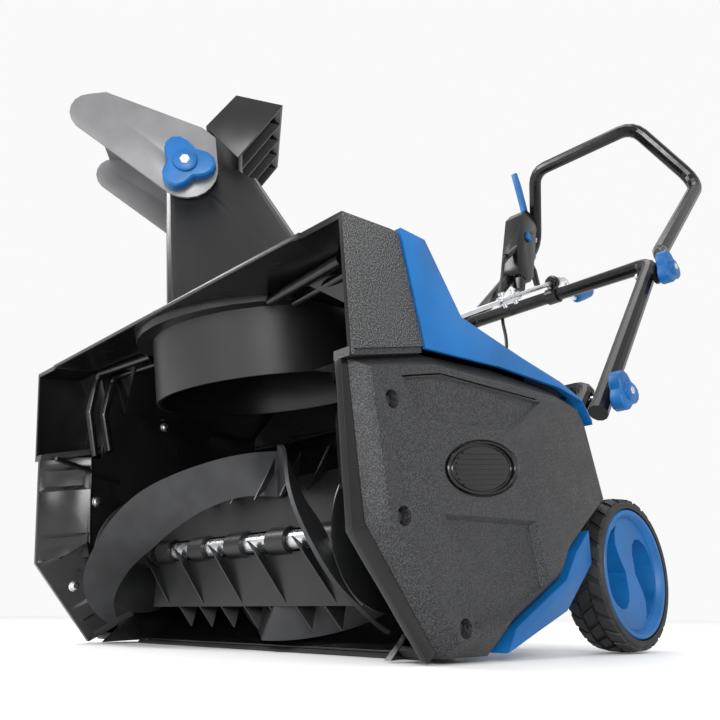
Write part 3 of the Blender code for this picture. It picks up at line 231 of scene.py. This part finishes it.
SURFACES = {
    "housing_plastic": moulded("gloss_black", (0.0030, 0.0030, 0.0033), 0.24, specular=0.36),
    # Both grained finishes carry painted highlights on their grain tops; the cheek's far wider dark-to-light
    # spread is a painted lit speckle, not its own colour.
    "textured_plastic": grained("grained_charcoal", (0.0140, 0.0144, 0.0155), 0.46,
                                1150.0, 0.0007, 0.35, 2.60),
    "cheek_plastic": grained("grained_cheek", (0.0180, 0.0185, 0.0190), 0.42,
                             1000.0, 0.0012, 0.05, 5.50),
    "blue_plastic": moulded("blue_plastic", (0.0020, 0.0800, 0.2450), 0.42, specular=0.30),
    "chute_plastic": moulded("satin_black", (0.0060, 0.0060, 0.0066), 0.34, specular=0.40),
    # The hood is the same black plastic as the chute; its light grey base is painted light, standing in for the
    # bright sheen it catches from the lamps above.
    "hood_painted_light": moulded("black_painted_light_grey", (0.135, 0.135, 0.140), 0.34),
    "rubber": soft_rubber("rubber", (0.0100, 0.0100, 0.0105), 0.60),
    "flight_rubber": soft_rubber("flight_rubber", (0.0150, 0.0155, 0.0170), 0.42),
    "painted_tube": coated("powder_black", (0.0035, 0.0035, 0.0040), 0.20),
    "zinc_steel": metal("zinc_steel", (0.62, 0.63, 0.65), 0.30),
    "dark_steel": metal("dark_steel", (0.070, 0.070, 0.075), 0.40),
    "belt_rubber": soft_rubber("belt_rubber", (0.020, 0.020, 0.020), 0.70),
    "motor_metal": metal("motor_metal", (0.30, 0.30, 0.31), 0.42),
    "auger_plastic": moulded("auger_plastic", (0.0080, 0.0083, 0.0088), 0.38, specular=0.40),
    "cable_rubber": soft_rubber("cable_rubber", (0.0080, 0.0080, 0.0080), 0.45),
}


# ---- mesh tools ----------------------------------------------------------------------------------
def dress(obj, surface, body, sharp=32.0):
    """Give a new piece its finish, its shading and the body that it rides on."""
    obj.data.materials.clear()
    obj.data.materials.append(SURFACES[surface])
    obj.data.shade_smooth()
    obj.data.set_sharp_from_angle(angle=math.radians(sharp))
    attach(obj, body)


def new_piece(name, bm):
    bmesh.ops.recalc_face_normals(bm, faces=bm.faces)
    mesh = bpy.data.meshes.new(name)
    bm.to_mesh(mesh)
    bm.free()
    obj = bpy.data.objects.new(name, mesh)
    bpy.context.scene.collection.objects.link(obj)
    return obj


def copy_of(node, name):
    """A clean working copy of a CAD node: welded, with its flat faces made whole."""
    bm = bmesh.new()
    bm.from_mesh(NODES[node].data)
    bmesh.ops.remove_doubles(bm, verts=bm.verts, dist=0.00002)
    bmesh.ops.dissolve_limit(bm, angle_limit=math.radians(0.6), verts=bm.verts, edges=bm.edges)
    return new_piece(name, bm)


def bake_modifiers(obj):
    graph = bpy.context.evaluated_depsgraph_get()
    mesh = bpy.data.meshes.new_from_object(obj.evaluated_get(graph))
    obj.modifiers.clear()
    obj.data = mesh


def round_edges(obj, width, segments=2, angle=28.0):
    modifier = obj.modifiers.new("round", "BEVEL")
    modifier.width = width
    modifier.segments = segments
    modifier.limit_method = "ANGLE"
    modifier.angle_limit = math.radians(angle)
    modifier.use_clamp_overlap = True
    bake_modifiers(obj)


def refine(node, width, surface):
    """A copy of a CAD node with rounded edges, shown in the node's place."""
    obj = copy_of(node, node + "_skin")
    round_edges(obj, width)
    dress(obj, surface, BODY_OF[node])
    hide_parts(node)


# ---- solid-making tools --------------------------------------------------------------------------
def hull_piece(name, points):
    bm = bmesh.new()
    for point in points:
        bm.verts.new(point)
    result = bmesh.ops.convex_hull(bm, input=bm.verts)
    spare = [item for item in result["geom_interior"] + result["geom_unused"]
             if isinstance(item, bmesh.types.BMVert)]
    bmesh.ops.delete(bm, geom=list(set(spare)), context="VERTS")
    bmesh.ops.dissolve_limit(bm, angle_limit=math.radians(0.5), verts=bm.verts, edges=bm.edges)
    return new_piece(name, bm)


def loft_piece(name, rings):
    """Closed rings of the same count, joined one after another and capped."""
    bm = bmesh.new()
    made = [[bm.verts.new(point) for point in ring] for ring in rings]
    for ring, other in zip(made, made[1:]):
        for index in range(len(ring)):
            after = (index + 1) % len(ring)
            bm.faces.new((ring[index], ring[after], other[after], other[index]))
    bm.faces.new(made[0])
    bm.faces.new(made[-1])
    return new_piece(name, bm)


def prism_piece(name, outline, low_x, high_x):
    return loft_piece(name, [[(x, y, z) for y, z in outline] for x in (low_x, high_x)])


def box_piece(name, low, high):
    outline = [(low[1], low[2]), (high[1], low[2]), (high[1], high[2]), (low[1], high[2])]
    return prism_piece(name, outline, low[0], high[0])


def turned_piece(name, profile, start, direction, sides=40):
    """A (radius, height) profile revolved about an axis; its ends sit on the axis or close up."""
    turn = Vector(direction).normalized().to_track_quat("Z", "Y").to_matrix().to_4x4()
    place = Matrix.Translation(Vector(start)) @ turn
    bm = bmesh.new()
    closed = profile[0][0] > 1e-6
    rings = []
    for radius, height in profile:
        count = sides if radius > 1e-6 else 1
        angles = [2.0 * math.pi * step / sides for step in range(count)]
        rings.append([bm.verts.new(place @ Vector((radius * math.cos(angle),
                                                   radius * math.sin(angle), height)))
                      for angle in angles])
    pairs = list(zip(rings, rings[1:]))
    if closed:
        pairs.append((rings[-1], rings[0]))
    for ring, other in pairs:
        for step in range(sides):
            after = (step + 1) % sides
            corners = [ring[step % len(ring)], ring[after % len(ring)],
                       other[after % len(other)], other[step % len(other)]]
            bm.faces.new(list(dict.fromkeys(corners)))
    return new_piece(name, bm)


def tube_piece(name, points, radius, bend):
    """A round tube along points; inner corners are rounded to the bend radius."""
    sides = 12
    path = [Vector(points[0])]
    for before, corner, after in zip(points, points[1:], points[2:]):
        corner = Vector(corner)
        toward = (Vector(before) - corner).normalized()
        onward = (Vector(after) - corner).normalized()
        reach = bend / math.tan(toward.angle(onward) / 2.0)
        for step in range(7):
            share = step / 6.0
            start = corner + toward * reach
            end = corner + onward * reach
            path.append(start.lerp(corner, share).lerp(corner.lerp(end, share), share))
    path.append(Vector(points[-1]))
    across = (path[1] - path[0]).orthogonal().normalized()
    rings = []
    for index, point in enumerate(path):
        along = (path[min(index + 1, len(path) - 1)] - path[max(index - 1, 0)]).normalized()
        across = (across - along * across.dot(along)).normalized()
        through = along.cross(across)
        angles = [2.0 * math.pi * step / sides for step in range(sides)]
        rings.append([point + across * (radius * math.cos(angle))
                      + through * (radius * math.sin(angle)) for angle in angles])
    return loft_piece(name, rings)


def combine(obj, tool, operation):
    modifier = obj.modifiers.new("combine", "BOOLEAN")
    modifier.operation = operation
    modifier.solver = "EXACT"
    modifier.object = tool
    bake_modifiers(obj)
    bpy.data.objects.remove(tool, do_unlink=True)


def merge(name, pieces):
    """Several loose solids kept as one piece."""
    bm = bmesh.new()
    for piece in pieces:
        bm.from_mesh(piece.data)
        bpy.data.objects.remove(piece, do_unlink=True)
    return new_piece(name, bm)


# ---- side covers ---------------------------------------------------------------------------------
COVER_X = 0.245
UPPER_POCKET = [(-0.087, 0.175), (-0.048, 0.185), (0.0765, 0.190), (0.037, 0.159), (-0.070, 0.150)]
LOWER_POCKET = [(-0.0475, 0.0906), (0.0588, 0.0954), (0.0698, 0.049), (0.0235, 0.0275),
                (-0.0200, 0.0200)]
GROOVE = [(-0.0870, 0.1757), (-0.0480, 0.1862), (0.0700, 0.1916), (0.0700, 0.1904),
          (-0.0480, 0.1850), (-0.0870, 0.1745)]
BADGE_Y, BADGE_Z = -0.003, 0.1265


def shrink(outline, amount):
    centre = Vector((sum(y for y, _ in outline), sum(z for _, z in outline))) / len(outline)
    result = []
    for y, z in outline:
        away = Vector((y, z)) - centre
        result.append(tuple(centre + away * (1.0 - amount / away.length)))
    return result


def pocket_tool(side, outline, depth, draft):
    rings = []
    for inset, reach in ((-draft * 0.5, 0.002), (draft, -depth)):
        x = side * (COVER_X + reach)
        rings.append([(x, y, z) for y, z in shrink(outline, inset)])
    return loft_piece("pocket_tool", rings)


def oval(x, half_y, half_z, steps=48):
    angles = [2.0 * math.pi * step / steps for step in range(steps)]
    return [(x, BADGE_Y + half_y * math.cos(angle), BADGE_Z + half_z * math.sin(angle)
             + 0.14 * half_y * math.cos(angle)) for angle in angles]


def oval_ring(name, side, outer, inner, low, high):
    """An oval band of rectangular section with softened outer corners."""
    bm = bmesh.new()
    soft = 0.0006
    rings = []
    for half, reach in ((outer, low), (outer, high - soft), (outer - soft, high),
                        (inner + soft, high), (inner, high - soft), (inner, low)):
        points = oval(side * (COVER_X + reach), half, half * 0.47)
        rings.append([bm.verts.new(point) for point in points])
    for ring, other in zip(rings, rings[1:] + rings[:1]):
        for index in range(len(ring)):
            after = (index + 1) % len(ring)
            bm.faces.new((ring[index], ring[after], other[after], other[index]))
    return new_piece(name, bm)


def side_cover(side, label):
    """The embossed cover: two pockets, a groove under the top edge and the badge's recess."""
    cover = copy_of(f"side_cover_{label}", f"side_cover_{label}_panel")
    combine(cover, pocket_tool(side, UPPER_POCKET, 0.0028, 0.0050), "DIFFERENCE")
    combine(cover, pocket_tool(side, GROOVE, 0.0060, 0.0002), "DIFFERENCE")
    combine(cover, pocket_tool(side, LOWER_POCKET, 0.0048, 0.0050), "DIFFERENCE")
    recess = loft_piece("recess", [oval(side * (COVER_X + reach), 0.0445 - inset,
                                        (0.0445 - inset) * 0.47)
                                   for reach, inset in ((0.002, 0.0), (-0.0022, 0.0022))])
    combine(cover, recess, "DIFFERENCE")
    relief = [(0.1900, -0.0040), (0.2343, -0.0040), (0.2343, 0.0250), (0.1900, 0.0600)]
    rings = [rim_ring(side, share, relief) for share in (0.0, RIM_KNEE, 1.0)]
    combine(cover, loft_piece("relief", rings), "DIFFERENCE")
    round_edges(cover, 0.0007, 2, 18.0)
    dress(cover, "textured_plastic", "base")
    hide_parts(f"side_cover_{label}")

    rings = [oval_ring("band", side, 0.0400, 0.0372, -0.0024, 0.0004),
             oval_ring("band", side, 0.0345, 0.0334, -0.0024, -0.0008)]
    plate = loft_piece("plate", [oval(side * (COVER_X + reach), 0.0372, 0.0372 * 0.47)
                                 for reach in (-0.0030, -0.0016)])
    for row in range(-3, 4):
        width = 0.0300 * math.sqrt(max(1.0 - (row / 4.4) ** 2, 0.0))
        z = BADGE_Z + row * 0.0036
        low, high = sorted((side * (COVER_X - 0.0018), side * (COVER_X - 0.0007)))
        rings.append(hull_piece("rib", [(x, y, z + dz + 0.14 * (y - BADGE_Y))
                                        for x in (low, high)
                                        for y in (BADGE_Y - width, BADGE_Y + width)
                                        for dz in (-0.0007, 0.0007)]))
    badge = merge(f"badge_{label}", [plate] + rings)
    dress(badge, "housing_plastic", "base")


def left_cover_screws():
    """The three recessed screws of the left cover, like those on the right."""
    screws = []
    for number in (1, 2, 3):
        low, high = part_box(f"side_cover_screw_{number}")
        centre = (low + high) / 2.0
        profile = [(0.0, 0.0), (0.0052, 0.0), (0.0052, 0.0025), (0.0044, 0.0036),
                   (0.0018, 0.0038), (0.0014, 0.0026), (0.0, 0.0026)]
        screws.append(turned_piece("screw", profile, (-low.x, centre.y, centre.z), (-1, 0, 0), 24))
    dress(merge("side_cover_screws_left", screws), "dark_steel", "base")


# ---- intake ----------------------------------------------------------------------------------------
WALL_IN = 0.196


RIM_LINE = [(-0.1313, 0.1795), (-0.1200, 0.0750), (-0.0545, 0.0005)]
RIM_KNEE = 0.515
RIM_LIP = [(0.2347, 0.0), (0.2290, 0.0)]
RIM_CUT = [(0.1940, -0.0040), (0.2600, -0.0040), (0.2600, 0.0078), (0.2345, 0.0078),
           (0.1940, 0.0410)]


def rim_ring(side, share, profile):
    """A profile in (across, depth), set square to the rim at a share of the way down it."""
    top, knee, toe = (Vector(point) for point in RIM_LINE)
    if share <= RIM_KNEE:
        place = top.lerp(knee, share / RIM_KNEE)
    else:
        place = knee.lerp(toe, (share - RIM_KNEE) / (1.0 - RIM_KNEE))
    above, below = (knee - top).normalized(), (toe - knee).normalized()
    near_knee = abs(share - RIM_KNEE) < 0.001
    along = (above + below).normalized() if near_knee else above if share < RIM_KNEE else below
    depth = Vector((-along.y, along.x))
    return [(side * x, place.x + depth.x * reach, place.y + depth.y * reach)
            for x, reach in profile]


def rim_liner(side, label):
    """The cheek that slopes in from the front rim, with a run of shallow pockets."""
    rings = []
    for share, sink in ((0.0, 0.0), (0.045, 0.0), (0.060, 0.012), (0.140, 0.012), (0.165, 0.0),
                        (0.380, 0.0), (0.395, 0.010), (0.500, 0.010), (RIM_KNEE, 0.004),
                        (0.545, 0.0), (0.660, 0.0), (0.700, 0.010), (0.800, 0.010),
                        (0.815, 0.002), (0.880, 0.002), (0.895, 0.012), (0.970, 0.012),
                        (1.0, 0.004)):
        profile = RIM_LIP + [(0.2260 - sink * 0.1, 0.0020 + sink * 0.4),
                             (0.2100 + sink * 0.25, 0.0150 + sink * 0.8), (0.1950, 0.0400),
                             (0.1950, 0.0425), (0.2347, 0.0150)]
        rings.append(rim_ring(side, share, profile))
    liner = loft_piece(f"rim_liner_{label}", rings)
    round_edges(liner, 0.0006, 2, 20.0)
    dress(liner, "housing_plastic", "base")
    outline = [(-0.1312, 0.1790), (-0.1312, 0.1850), (-0.0650, 0.2030), (-0.0640, 0.1975)]
    low, high = sorted((side * 0.2280, side * 0.2425))
    dress(prism_piece(f"cheek_seam_{label}", outline, low, high), "textured_plastic", "base")


def housing():
    """The bucket, with a bay in each side wall and its lower front rims cut away."""
    shell = copy_of("auger_housing", "auger_housing_skin")
    for side in (1, -1):
        low, high = sorted((side * 0.190, side * 0.2405))
        bay = [(-0.170, 0.1790), (-0.170, 0.2690), (-0.1395, 0.2705), (-0.0960, 0.2760),
               (-0.0900, 0.2680), (-0.0790, 0.2350), (-0.0800, 0.1840), (-0.1100, 0.1790)]
        combine(shell, prism_piece("bay", bay, low, high), "DIFFERENCE")
        gap = [rim_ring(side, share, RIM_CUT) for share in (0.0, RIM_KNEE, 1.0)]
        combine(shell, loft_piece("rim_cut", gap), "DIFFERENCE")
    round_edges(shell, 0.0010, 2, 24.0)
    dress(shell, "housing_plastic", "base")
    shell.data.materials.append(SURFACES["cheek_plastic"])
    cheek_x = 0.2432
    for face in shell.data.polygons:
        if abs(face.center.x) > cheek_x:
            face.material_index = 1
    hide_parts("auger_housing")


def intake_ribs():
    """Double beads down the side wall and across the roof, and a ledge at the shoulder."""
    pieces = []
    for side in (1, -1):
        wall = side * 0.1945
        for roof_y, wall_y, foot_y, foot_z, roof_x in ((-0.0860, -0.1060, -0.0880, 0.1850, 0.098),
                                                       (-0.0690, -0.0900, -0.0730, 0.1930, 0.110)):
            points = [(side * roof_x, roof_y, 0.2735), (wall, roof_y - 0.010, 0.2735),
                      (wall, wall_y + 0.006, 0.2300), (wall, foot_y, foot_z)]
            if side < 0:
                pieces.append(tube_piece("bead", points, 0.0042, 0.008))
            else:
                pieces.append(tube_piece("bead", points[:2], 0.0045, 0.008))
        if side < 0:
            pieces.append(hull_piece("ledge", [(x, y, z) for x in (-0.1965, -0.1900)
                                               for y, z in ((-0.1290, 0.1780), (-0.0600, 0.1640),
                                                            (-0.1290, 0.1745),
                                                            (-0.0600, 0.1605))]))
    dress(merge("intake_beads", pieces), "housing_plastic", "base")


def wall_bolts():
    """Bright bolts through the side walls, that hold the bearings' flanges."""
    pieces = []
    profile = [(0.0, -0.0005), (0.0052, -0.0005), (0.0052, 0.0006), (0.0040, 0.0010),
               (0.0036, 0.0030), (0.0024, 0.0040), (0.0, 0.0042)]
    for side in (1, -1):
        places = [(-0.0803, 0.1381), (-0.0100, 0.2300)]
        if side < 0:
            places.append((-0.0924, 0.0539))
        for y, z in places:
            pieces.append(turned_piece("bolt", profile, (side * WALL_IN, y, z), (-side, 0, 0), 20))
    dress(merge("wall_bolts", pieces), "zinc_steel", "base")


def back_seam():
    """The raised joint line across the back of the chamber."""
    seam = box_piece("back_seam", (-0.1955, 0.1158, 0.2255), (0.1955, 0.1185, 0.2275))
    dress(seam, "housing_plastic", "base")


# ---- auger -----------------------------------------------------------------------------------------
def auger_point(radius, angle, x):
    turn = math.radians(angle)
    return Vector((x, AUGER.y + radius * math.cos(turn), AUGER.z + radius * math.sin(turn)))


def rotor():
    """Open rib work on the shaft: end discs, throwing plates, slanting ribs and fins."""
    pieces = []
    for side in (1, -1):
        disc = [(0.0090, 0.0), (0.0560, 0.0), (0.0580, 0.0008), (0.0580, 0.0018),
                (0.0560, 0.0025), (0.0090, 0.0025)]
        pieces.append(turned_piece("disc", disc, (side * 0.1762, AUGER.y, AUGER.z),
                                   (side, 0, 0), 56))
        hub = [(0.0086, 0.0), (0.0140, 0.0), (0.0125, 0.0300), (0.0086, 0.0300)]
        pieces.append(turned_piece("hub", hub, (side * 0.1765, AUGER.y, AUGER.z),
                                   (-side, 0, 0), 32))
    half = 0.150
    for face in (90.0, 270.0):
        plate = []
        for x in (-half, half):
            for radius, lean in ((0.0095, -7.0), (0.0095, 7.0), (0.0520, 1.4), (0.0520, -1.4)):
                plate.append(auger_point(radius, face + lean, x))
        pieces.append(hull_piece("throw_plate", plate))
        for step in range(6):
            foot = -0.119 + step * 0.0603
            top = foot - 0.040 if step < 5 else foot - 0.032
            points = []
            for x_shift in (-0.0010, 0.0010):
                points += [auger_point(0.0150, face - 95.0, top + x_shift),
                           auger_point(0.0100, face - 5.0, top + 0.006 + x_shift),
                           auger_point(0.0515, face - 1.0, min(foot, half) + x_shift)]
            pieces.append(hull_piece("rib", points))
        for step in range(7):
            foot = -0.105 + step * 0.035
            points = []
            for x_shift in (-0.0009, 0.0009):
                points += [auger_point(0.0510, face + 0.5, foot + x_shift),
                           auger_point(0.0700, face + 7.0, foot + 0.012 + x_shift),
                           auger_point(0.0400, face + 34.0, foot + 0.004 + x_shift)]
            pieces.append(hull_piece("fin", points))
    for step in range(5):
        x = -0.128 + step * 0.0603
        sleeve = [(0.0084, -0.0120), (0.0116, -0.0120), (0.0116, 0.0120), (0.0084, 0.0120)]
        pieces.append(turned_piece("sleeve", sleeve, (x, AUGER.y, AUGER.z), (1, 0, 0), 28))
    detail = merge("auger_rotor_detail", pieces)
    dress(detail, "auger_plastic", "auger")
    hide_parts("auger_rotor")


# A flight's stations, from its end to the middle: outer (x, angle, radius), then inner.
SWEEP = 0.0785
LEFT_FLIGHT = [
    (-0.1725, 246, 0.0760, -0.1700, 247, 0.0710), (-0.1700, 224, 0.0780, -0.1600, 229, 0.0600),
    (-0.1600, 202, SWEEP, -0.1420, 210, 0.0460), (-0.1330, 180, SWEEP, -0.1060, 182, 0.0360),
    (-0.1120, 162, SWEEP, -0.0750, 161, 0.0370), (-0.0810, 139, SWEEP, -0.0400, 140, 0.0400),
    (-0.0450, 124, SWEEP, -0.0120, 126, 0.0420), (-0.0180, 114, SWEEP, 0.0140, 113, 0.0420),
    (0.0120, 100, SWEEP, 0.0360, 104, 0.0390), (0.0360, 87, SWEEP, 0.0500, 97, 0.0360)]
RIGHT_FLIGHT = [
    (0.1850, 262, 0.0705, 0.1780, 258, 0.0660), (0.1850, 236, 0.0665, 0.1680, 230, 0.0550),
    (0.1845, 212, 0.0720, 0.1600, 212, 0.0460), (0.1800, 192, SWEEP, 0.1500, 190, 0.0380),
    (0.1550, 166, SWEEP, 0.1340, 165, 0.0360), (0.1320, 144, SWEEP, 0.1160, 143, 0.0390),
    (0.1100, 128, SWEEP, 0.1000, 128, 0.0410), (0.0850, 114, SWEEP, 0.0820, 116, 0.0420),
    (0.0600, 101, SWEEP, 0.0660, 106, 0.0400), (0.0362, 87, SWEEP, 0.0502, 97, 0.0362)]


def smooth_row(stations, share):
    """Stations blended along a Catmull-Rom curve."""
    reach = share * (len(stations) - 1)
    index = min(int(reach), len(stations) - 2)
    part = reach - index
    picks = [stations[min(max(index + shift, 0), len(stations) - 1)] for shift in (-1, 0, 1, 2)]
    row = []
    for before, here, after, beyond in zip(*picks):
        row.append(0.5 * (2.0 * here + (after - before) * part
                          + (2.0 * before - 5.0 * here + 4.0 * after - beyond) * part ** 2
                          + (3.0 * here - before - 3.0 * after + beyond) * part ** 3))
    return row


def flight(name, stations, turn, node):
    """A rubber blade: a curved sheet between its outer and inner edges."""
    steps, across, half = 56, 6, 0.0014
    rows = []
    for step in range(steps + 1):
        out_x, out_angle, out_radius, in_x, in_angle, in_radius = smooth_row(stations, step / steps)
        outer = auger_point(out_radius, out_angle + turn, out_x)
        inner = auger_point(in_radius, in_angle + turn, in_x)
        rows.append([inner.lerp(outer, index / across) for index in range(across + 1)])
    rings = []
    for step, row in enumerate(rows):
        lows, highs = [], []
        for index, point in enumerate(row):
            along = rows[min(step + 1, steps)][index] - rows[max(step - 1, 0)][index]
            normal = along.cross(row[-1] - row[0]).normalized()
            lows.append(point - normal * half)
            highs.append(point + normal * half)
        rings.append(lows + highs[::-1])
    blade = loft_piece(name, rings)
    dress(blade, "flight_rubber", "auger", 40.0)
    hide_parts(node)


# ---- wheels ----------------------------------------------------------------------------------------
def tyre(side, label):
    """Side walls with a moulded line and a band of staggered tread blocks."""
    low = side * WHEEL_IN
    profile = [(0.0500, 0.0010), (0.0585, 0.0002), (0.0612, 0.0030), (0.0618, 0.0100),
               (0.0618, 0.0280), (0.0612, 0.0350), (0.0590, 0.0378), (0.0548, 0.0376),
               (0.0546, 0.0060), (0.0500, 0.0060)]
    pieces = [turned_piece("carcass", profile, (low, WHEEL_Y, WHEEL_Z), (side, 0, 0), 72)]
    blocks = 26
    for row, (near, far, slant) in enumerate(((0.0015, 0.0120, 3.0), (0.0135, 0.0245, -3.0),
                                              (0.0260, 0.0365, 3.0))):
        for step in range(blocks):
            middle = 360.0 * (step + 0.5 * (row % 2)) / blocks
            points = []
            for height, half_angle, inset in ((0.0610, 5.4, 0.0), (0.0642, 4.7, 0.0006)):
                for reach, turn in ((near + inset, -slant), (far - inset, slant)):
                    drop = 0.0016 if row != 1 and (reach < 0.006 or reach > 0.032) else 0.0
                    for corner in (-half_angle, half_angle):
                        angle = math.radians(middle + corner + turn)
                        radius = height - drop
                        points.append((low + side * reach, WHEEL_Y + radius * math.cos(angle),
                                       WHEEL_Z + radius * math.sin(angle)))
            pieces.append(hull_piece("block", points))
    detail = merge(f"tyre_{label}_tread", pieces)
    dress(detail, "rubber", f"wheel_{label}")
    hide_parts(f"tyre_{label}")


HOLLOW = [(113, 0.96), (128, 0.96), (144, 0.96), (160, 0.96), (176, 0.95), (192, 0.94),
          (208, 0.92), (222, 0.88), (235, 0.82), (247, 0.72), (254, 0.56), (252, 0.38),
          (225, 0.22), (180, 0.16), (152, 0.30), (140, 0.52), (132, 0.72), (122, 0.88)]
HOLLOW_RADIUS = 0.0462


def crescent(shrink_to, turn):
    """One of the hub's two hollows, in (across, up) about the axle."""
    points = []
    for angle, radius in HOLLOW:
        spot = math.radians(angle + turn)
        points.append(Vector((math.cos(spot), math.sin(spot))) * radius * HOLLOW_RADIUS)
    centre = sum(points, Vector((0.0, 0.0))) / len(points)
    return [centre + (point - centre) * shrink_to for point in points]


def axle():
    """The bar between the wheels; its ends stay inside the hubs."""
    profile = [(0.0, -0.2360), (0.0062, -0.2360), (0.0068, -0.2350), (0.0068, 0.2350),
               (0.0062, 0.2360), (0.0, 0.2360)]
    bar = turned_piece("axle_bar", profile, (0.0, WHEEL_Y, WHEEL_Z), (1, 0, 0), 28)
    dress(bar, SLOT_OF["wheel_axle"], BODY_OF["wheel_axle"])
    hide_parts("wheel_axle")


def hub(side, label):
    """The blue disc: a lip round the rim, and an S-shaped web between two deep hollows."""
    low = side * WHEEL_IN
    profile = [(0.0070, 0.0), (0.0130, 0.0), (0.0130, 0.0100), (0.0460, 0.0100),
               (0.0460, 0.0064), (0.0541, 0.0064), (0.0541, 0.0358), (0.0530, 0.0373),
               (0.0500, 0.0373), (0.0478, 0.0350), (0.0462, 0.0322), (0.0070, 0.0322)]
    disc = turned_piece(f"wheel_hub_{label}_face", profile, (low, WHEEL_Y, WHEEL_Z),
                        (side, 0, 0), 64)
    plug = [(0.0, 0.0290), (0.0075, 0.0290), (0.0075, 0.0322), (0.0, 0.0322)]
    combine(disc, turned_piece("plug", plug, (low, WHEEL_Y, WHEEL_Z), (side, 0, 0), 64), "UNION")
    for turn in (0.0, 180.0):
        for reach_low, reach_high, low_scale, high_scale in ((0.0160, 0.0400, 0.84, 1.02),
                                                             (-0.0050, 0.0180, 0.70, 0.70)):
            rings = []
            for reach, scale in ((reach_low, low_scale), (reach_high, high_scale)):
                rings.append([(low + side * reach, WHEEL_Y + point.x, WHEEL_Z + point.y)
                              for point in crescent(scale, turn)])
            combine(disc, loft_piece("hollow", rings), "DIFFERENCE")
    round_edges(disc, 0.0012, 3, 26.0)
    dress(disc, "blue_plastic", f"wheel_{label}")
    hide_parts(f"wheel_hub_{label}")


# ---- knobs -----------------------------------------------------------------------------------------
def knob_cap(name, body, start, direction):
    """The raised boss in a knob's middle with the bright end of its bolt."""
    boss = [(0.0036, -0.0005), (0.0115, -0.0005), (0.0105, 0.0024), (0.0088, 0.0034),
            (0.0036, 0.0034)]
    dress(turned_piece(name + "_boss", boss, start, direction, 32), "blue_plastic", body)
    nut = [(0.0, -0.0005), (0.0048, -0.0005), (0.0048, 0.0040), (0.0036, 0.0048), (0.0, 0.0048)]
    dress(turned_piece(name + "_nut", nut, start, direction, 6), "zinc_steel", body)


def knob_caps():
    for label, side in (("left", -1), ("right", 1)):
        for level in ("lower", "upper"):
            low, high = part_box(f"{level}_knob_{label}")
            joint = next(j for j in frame["joints"] if j["child"] == f"{level}_knob_{label}")
            reach = high.x if side > 0 else low.x
            knob_cap(f"{level}_knob_{label}_top", f"{level}_knob_{label}",
                     (reach, joint["pos_m"][1], joint["pos_m"][2]), (side, 0, 0))
    joint = next(j for j in frame["joints"] if j["child"] == "deflector_knob")
    axis = Vector(joint["axis"]).normalized()
    knob_reach = 0.0792
    start = Vector(joint["pos_m"]) + axis * knob_reach
    knob_cap("deflector_knob_top", "deflector_knob", start, axis)


# ---- crank, switch and cable -------------------------------------------------------------------------
CRANK_FOOT = Vector((0.004, 0.139, 0.3165))
CRANK_EYE = Vector((0.004, 0.524, 0.5215))
CRANK_ALONG = (CRANK_EYE - CRANK_FOOT).normalized()


def crank_details():
    """A sleeve with two cross bolts on the rod, and the bright ring at the eyelet."""
    start = CRANK_FOOT + CRANK_ALONG * 0.270
    profile = [(0.0037, 0.0), (0.0060, 0.0), (0.0064, 0.0010), (0.0064, 0.0540),
               (0.0060, 0.0550), (0.0037, 0.0550)]
    pieces = [turned_piece("sleeve", profile, start, CRANK_ALONG, 28)]
    up = (Vector((0, 0, 1)) - CRANK_ALONG * CRANK_ALONG.z).normalized()
    for reach in (0.012, 0.043):
        bolt = [(0.0, -0.0105), (0.0032, -0.0105), (0.0032, 0.0085), (0.0050, 0.0085),
                (0.0050, 0.0115), (0.0, 0.0120)]
        pieces.append(turned_piece("cross_bolt", bolt, start + CRANK_ALONG * reach, up, 16))
    dress(merge("crank_sleeve", pieces), "zinc_steel", "crank")
    collar = [(0.0037, 0.0), (0.0088, 0.0), (0.0094, 0.0010), (0.0094, 0.0040),
              (0.0088, 0.0050), (0.0037, 0.0050)]
    ring = turned_piece("crank_collar", collar, CRANK_EYE + CRANK_ALONG * 0.0085,
                        CRANK_ALONG, 32)
    dress(ring, "zinc_steel", "crank")


# ---- carried-over nodes --------------------------------------------------------------------------
REFINED = {
    "upper_shroud": 0.0012, "belly_cover": 0.0010, "rear_cover": 0.0010, "chute_body": 0.0009,
    "chute_collar": 0.0007, "chute_ring": 0.0007, "deflector_hood": 0.0009,
    "deflector_grip": 0.0007, "deflector_knob": 0.0015, "switch_box": 0.0012,
    "bail_lever": 0.0010, "lower_knob_left": 0.0015, "lower_knob_right": 0.0015,
    "upper_knob_left": 0.0015, "upper_knob_right": 0.0015, "axle_bracket_left": 0.0006,
    "axle_bracket_right": 0.0006, "crank_bearing": 0.0006, "cord_hook": 0.0004,
}
# The hood gets a grey material whose lightness is painted light on black plastic, not its own colour.
NODE_SURFACE = {"deflector_hood": "hood_painted_light"}


def paint_nodes():
    for name, obj in NODES.items():
        surface = SURFACES[NODE_SURFACE.get(name, SLOT_OF[name])]
        obj.data.materials.clear()
        obj.data.materials.append(surface)


add_camera()
add_stage()
paint_nodes()
for node, width in REFINED.items():
    refine(node, width, NODE_SURFACE.get(node, SLOT_OF[node]))
housing()
intake_ribs()
wall_bolts()
back_seam()
left_cover_screws()
knob_caps()
rotor()
for turn, label in ((0.0, "a"), (180.0, "b")):
    flight(f"flight_left_{label}", LEFT_FLIGHT, turn, f"auger_flight_left_{label}")
    flight(f"flight_right_{label}", RIGHT_FLIGHT, turn, f"auger_flight_right_{label}")
crank_details()
axle()
for rim_side, rim_label in ((1, "right"), (-1, "left")):
    rim_liner(rim_side, rim_label)
for wheel_side, wheel_label in ((1, "right"), (-1, "left")):
    side_cover(wheel_side, wheel_label)
    tyre(wheel_side, wheel_label)
    hub(wheel_side, wheel_label)
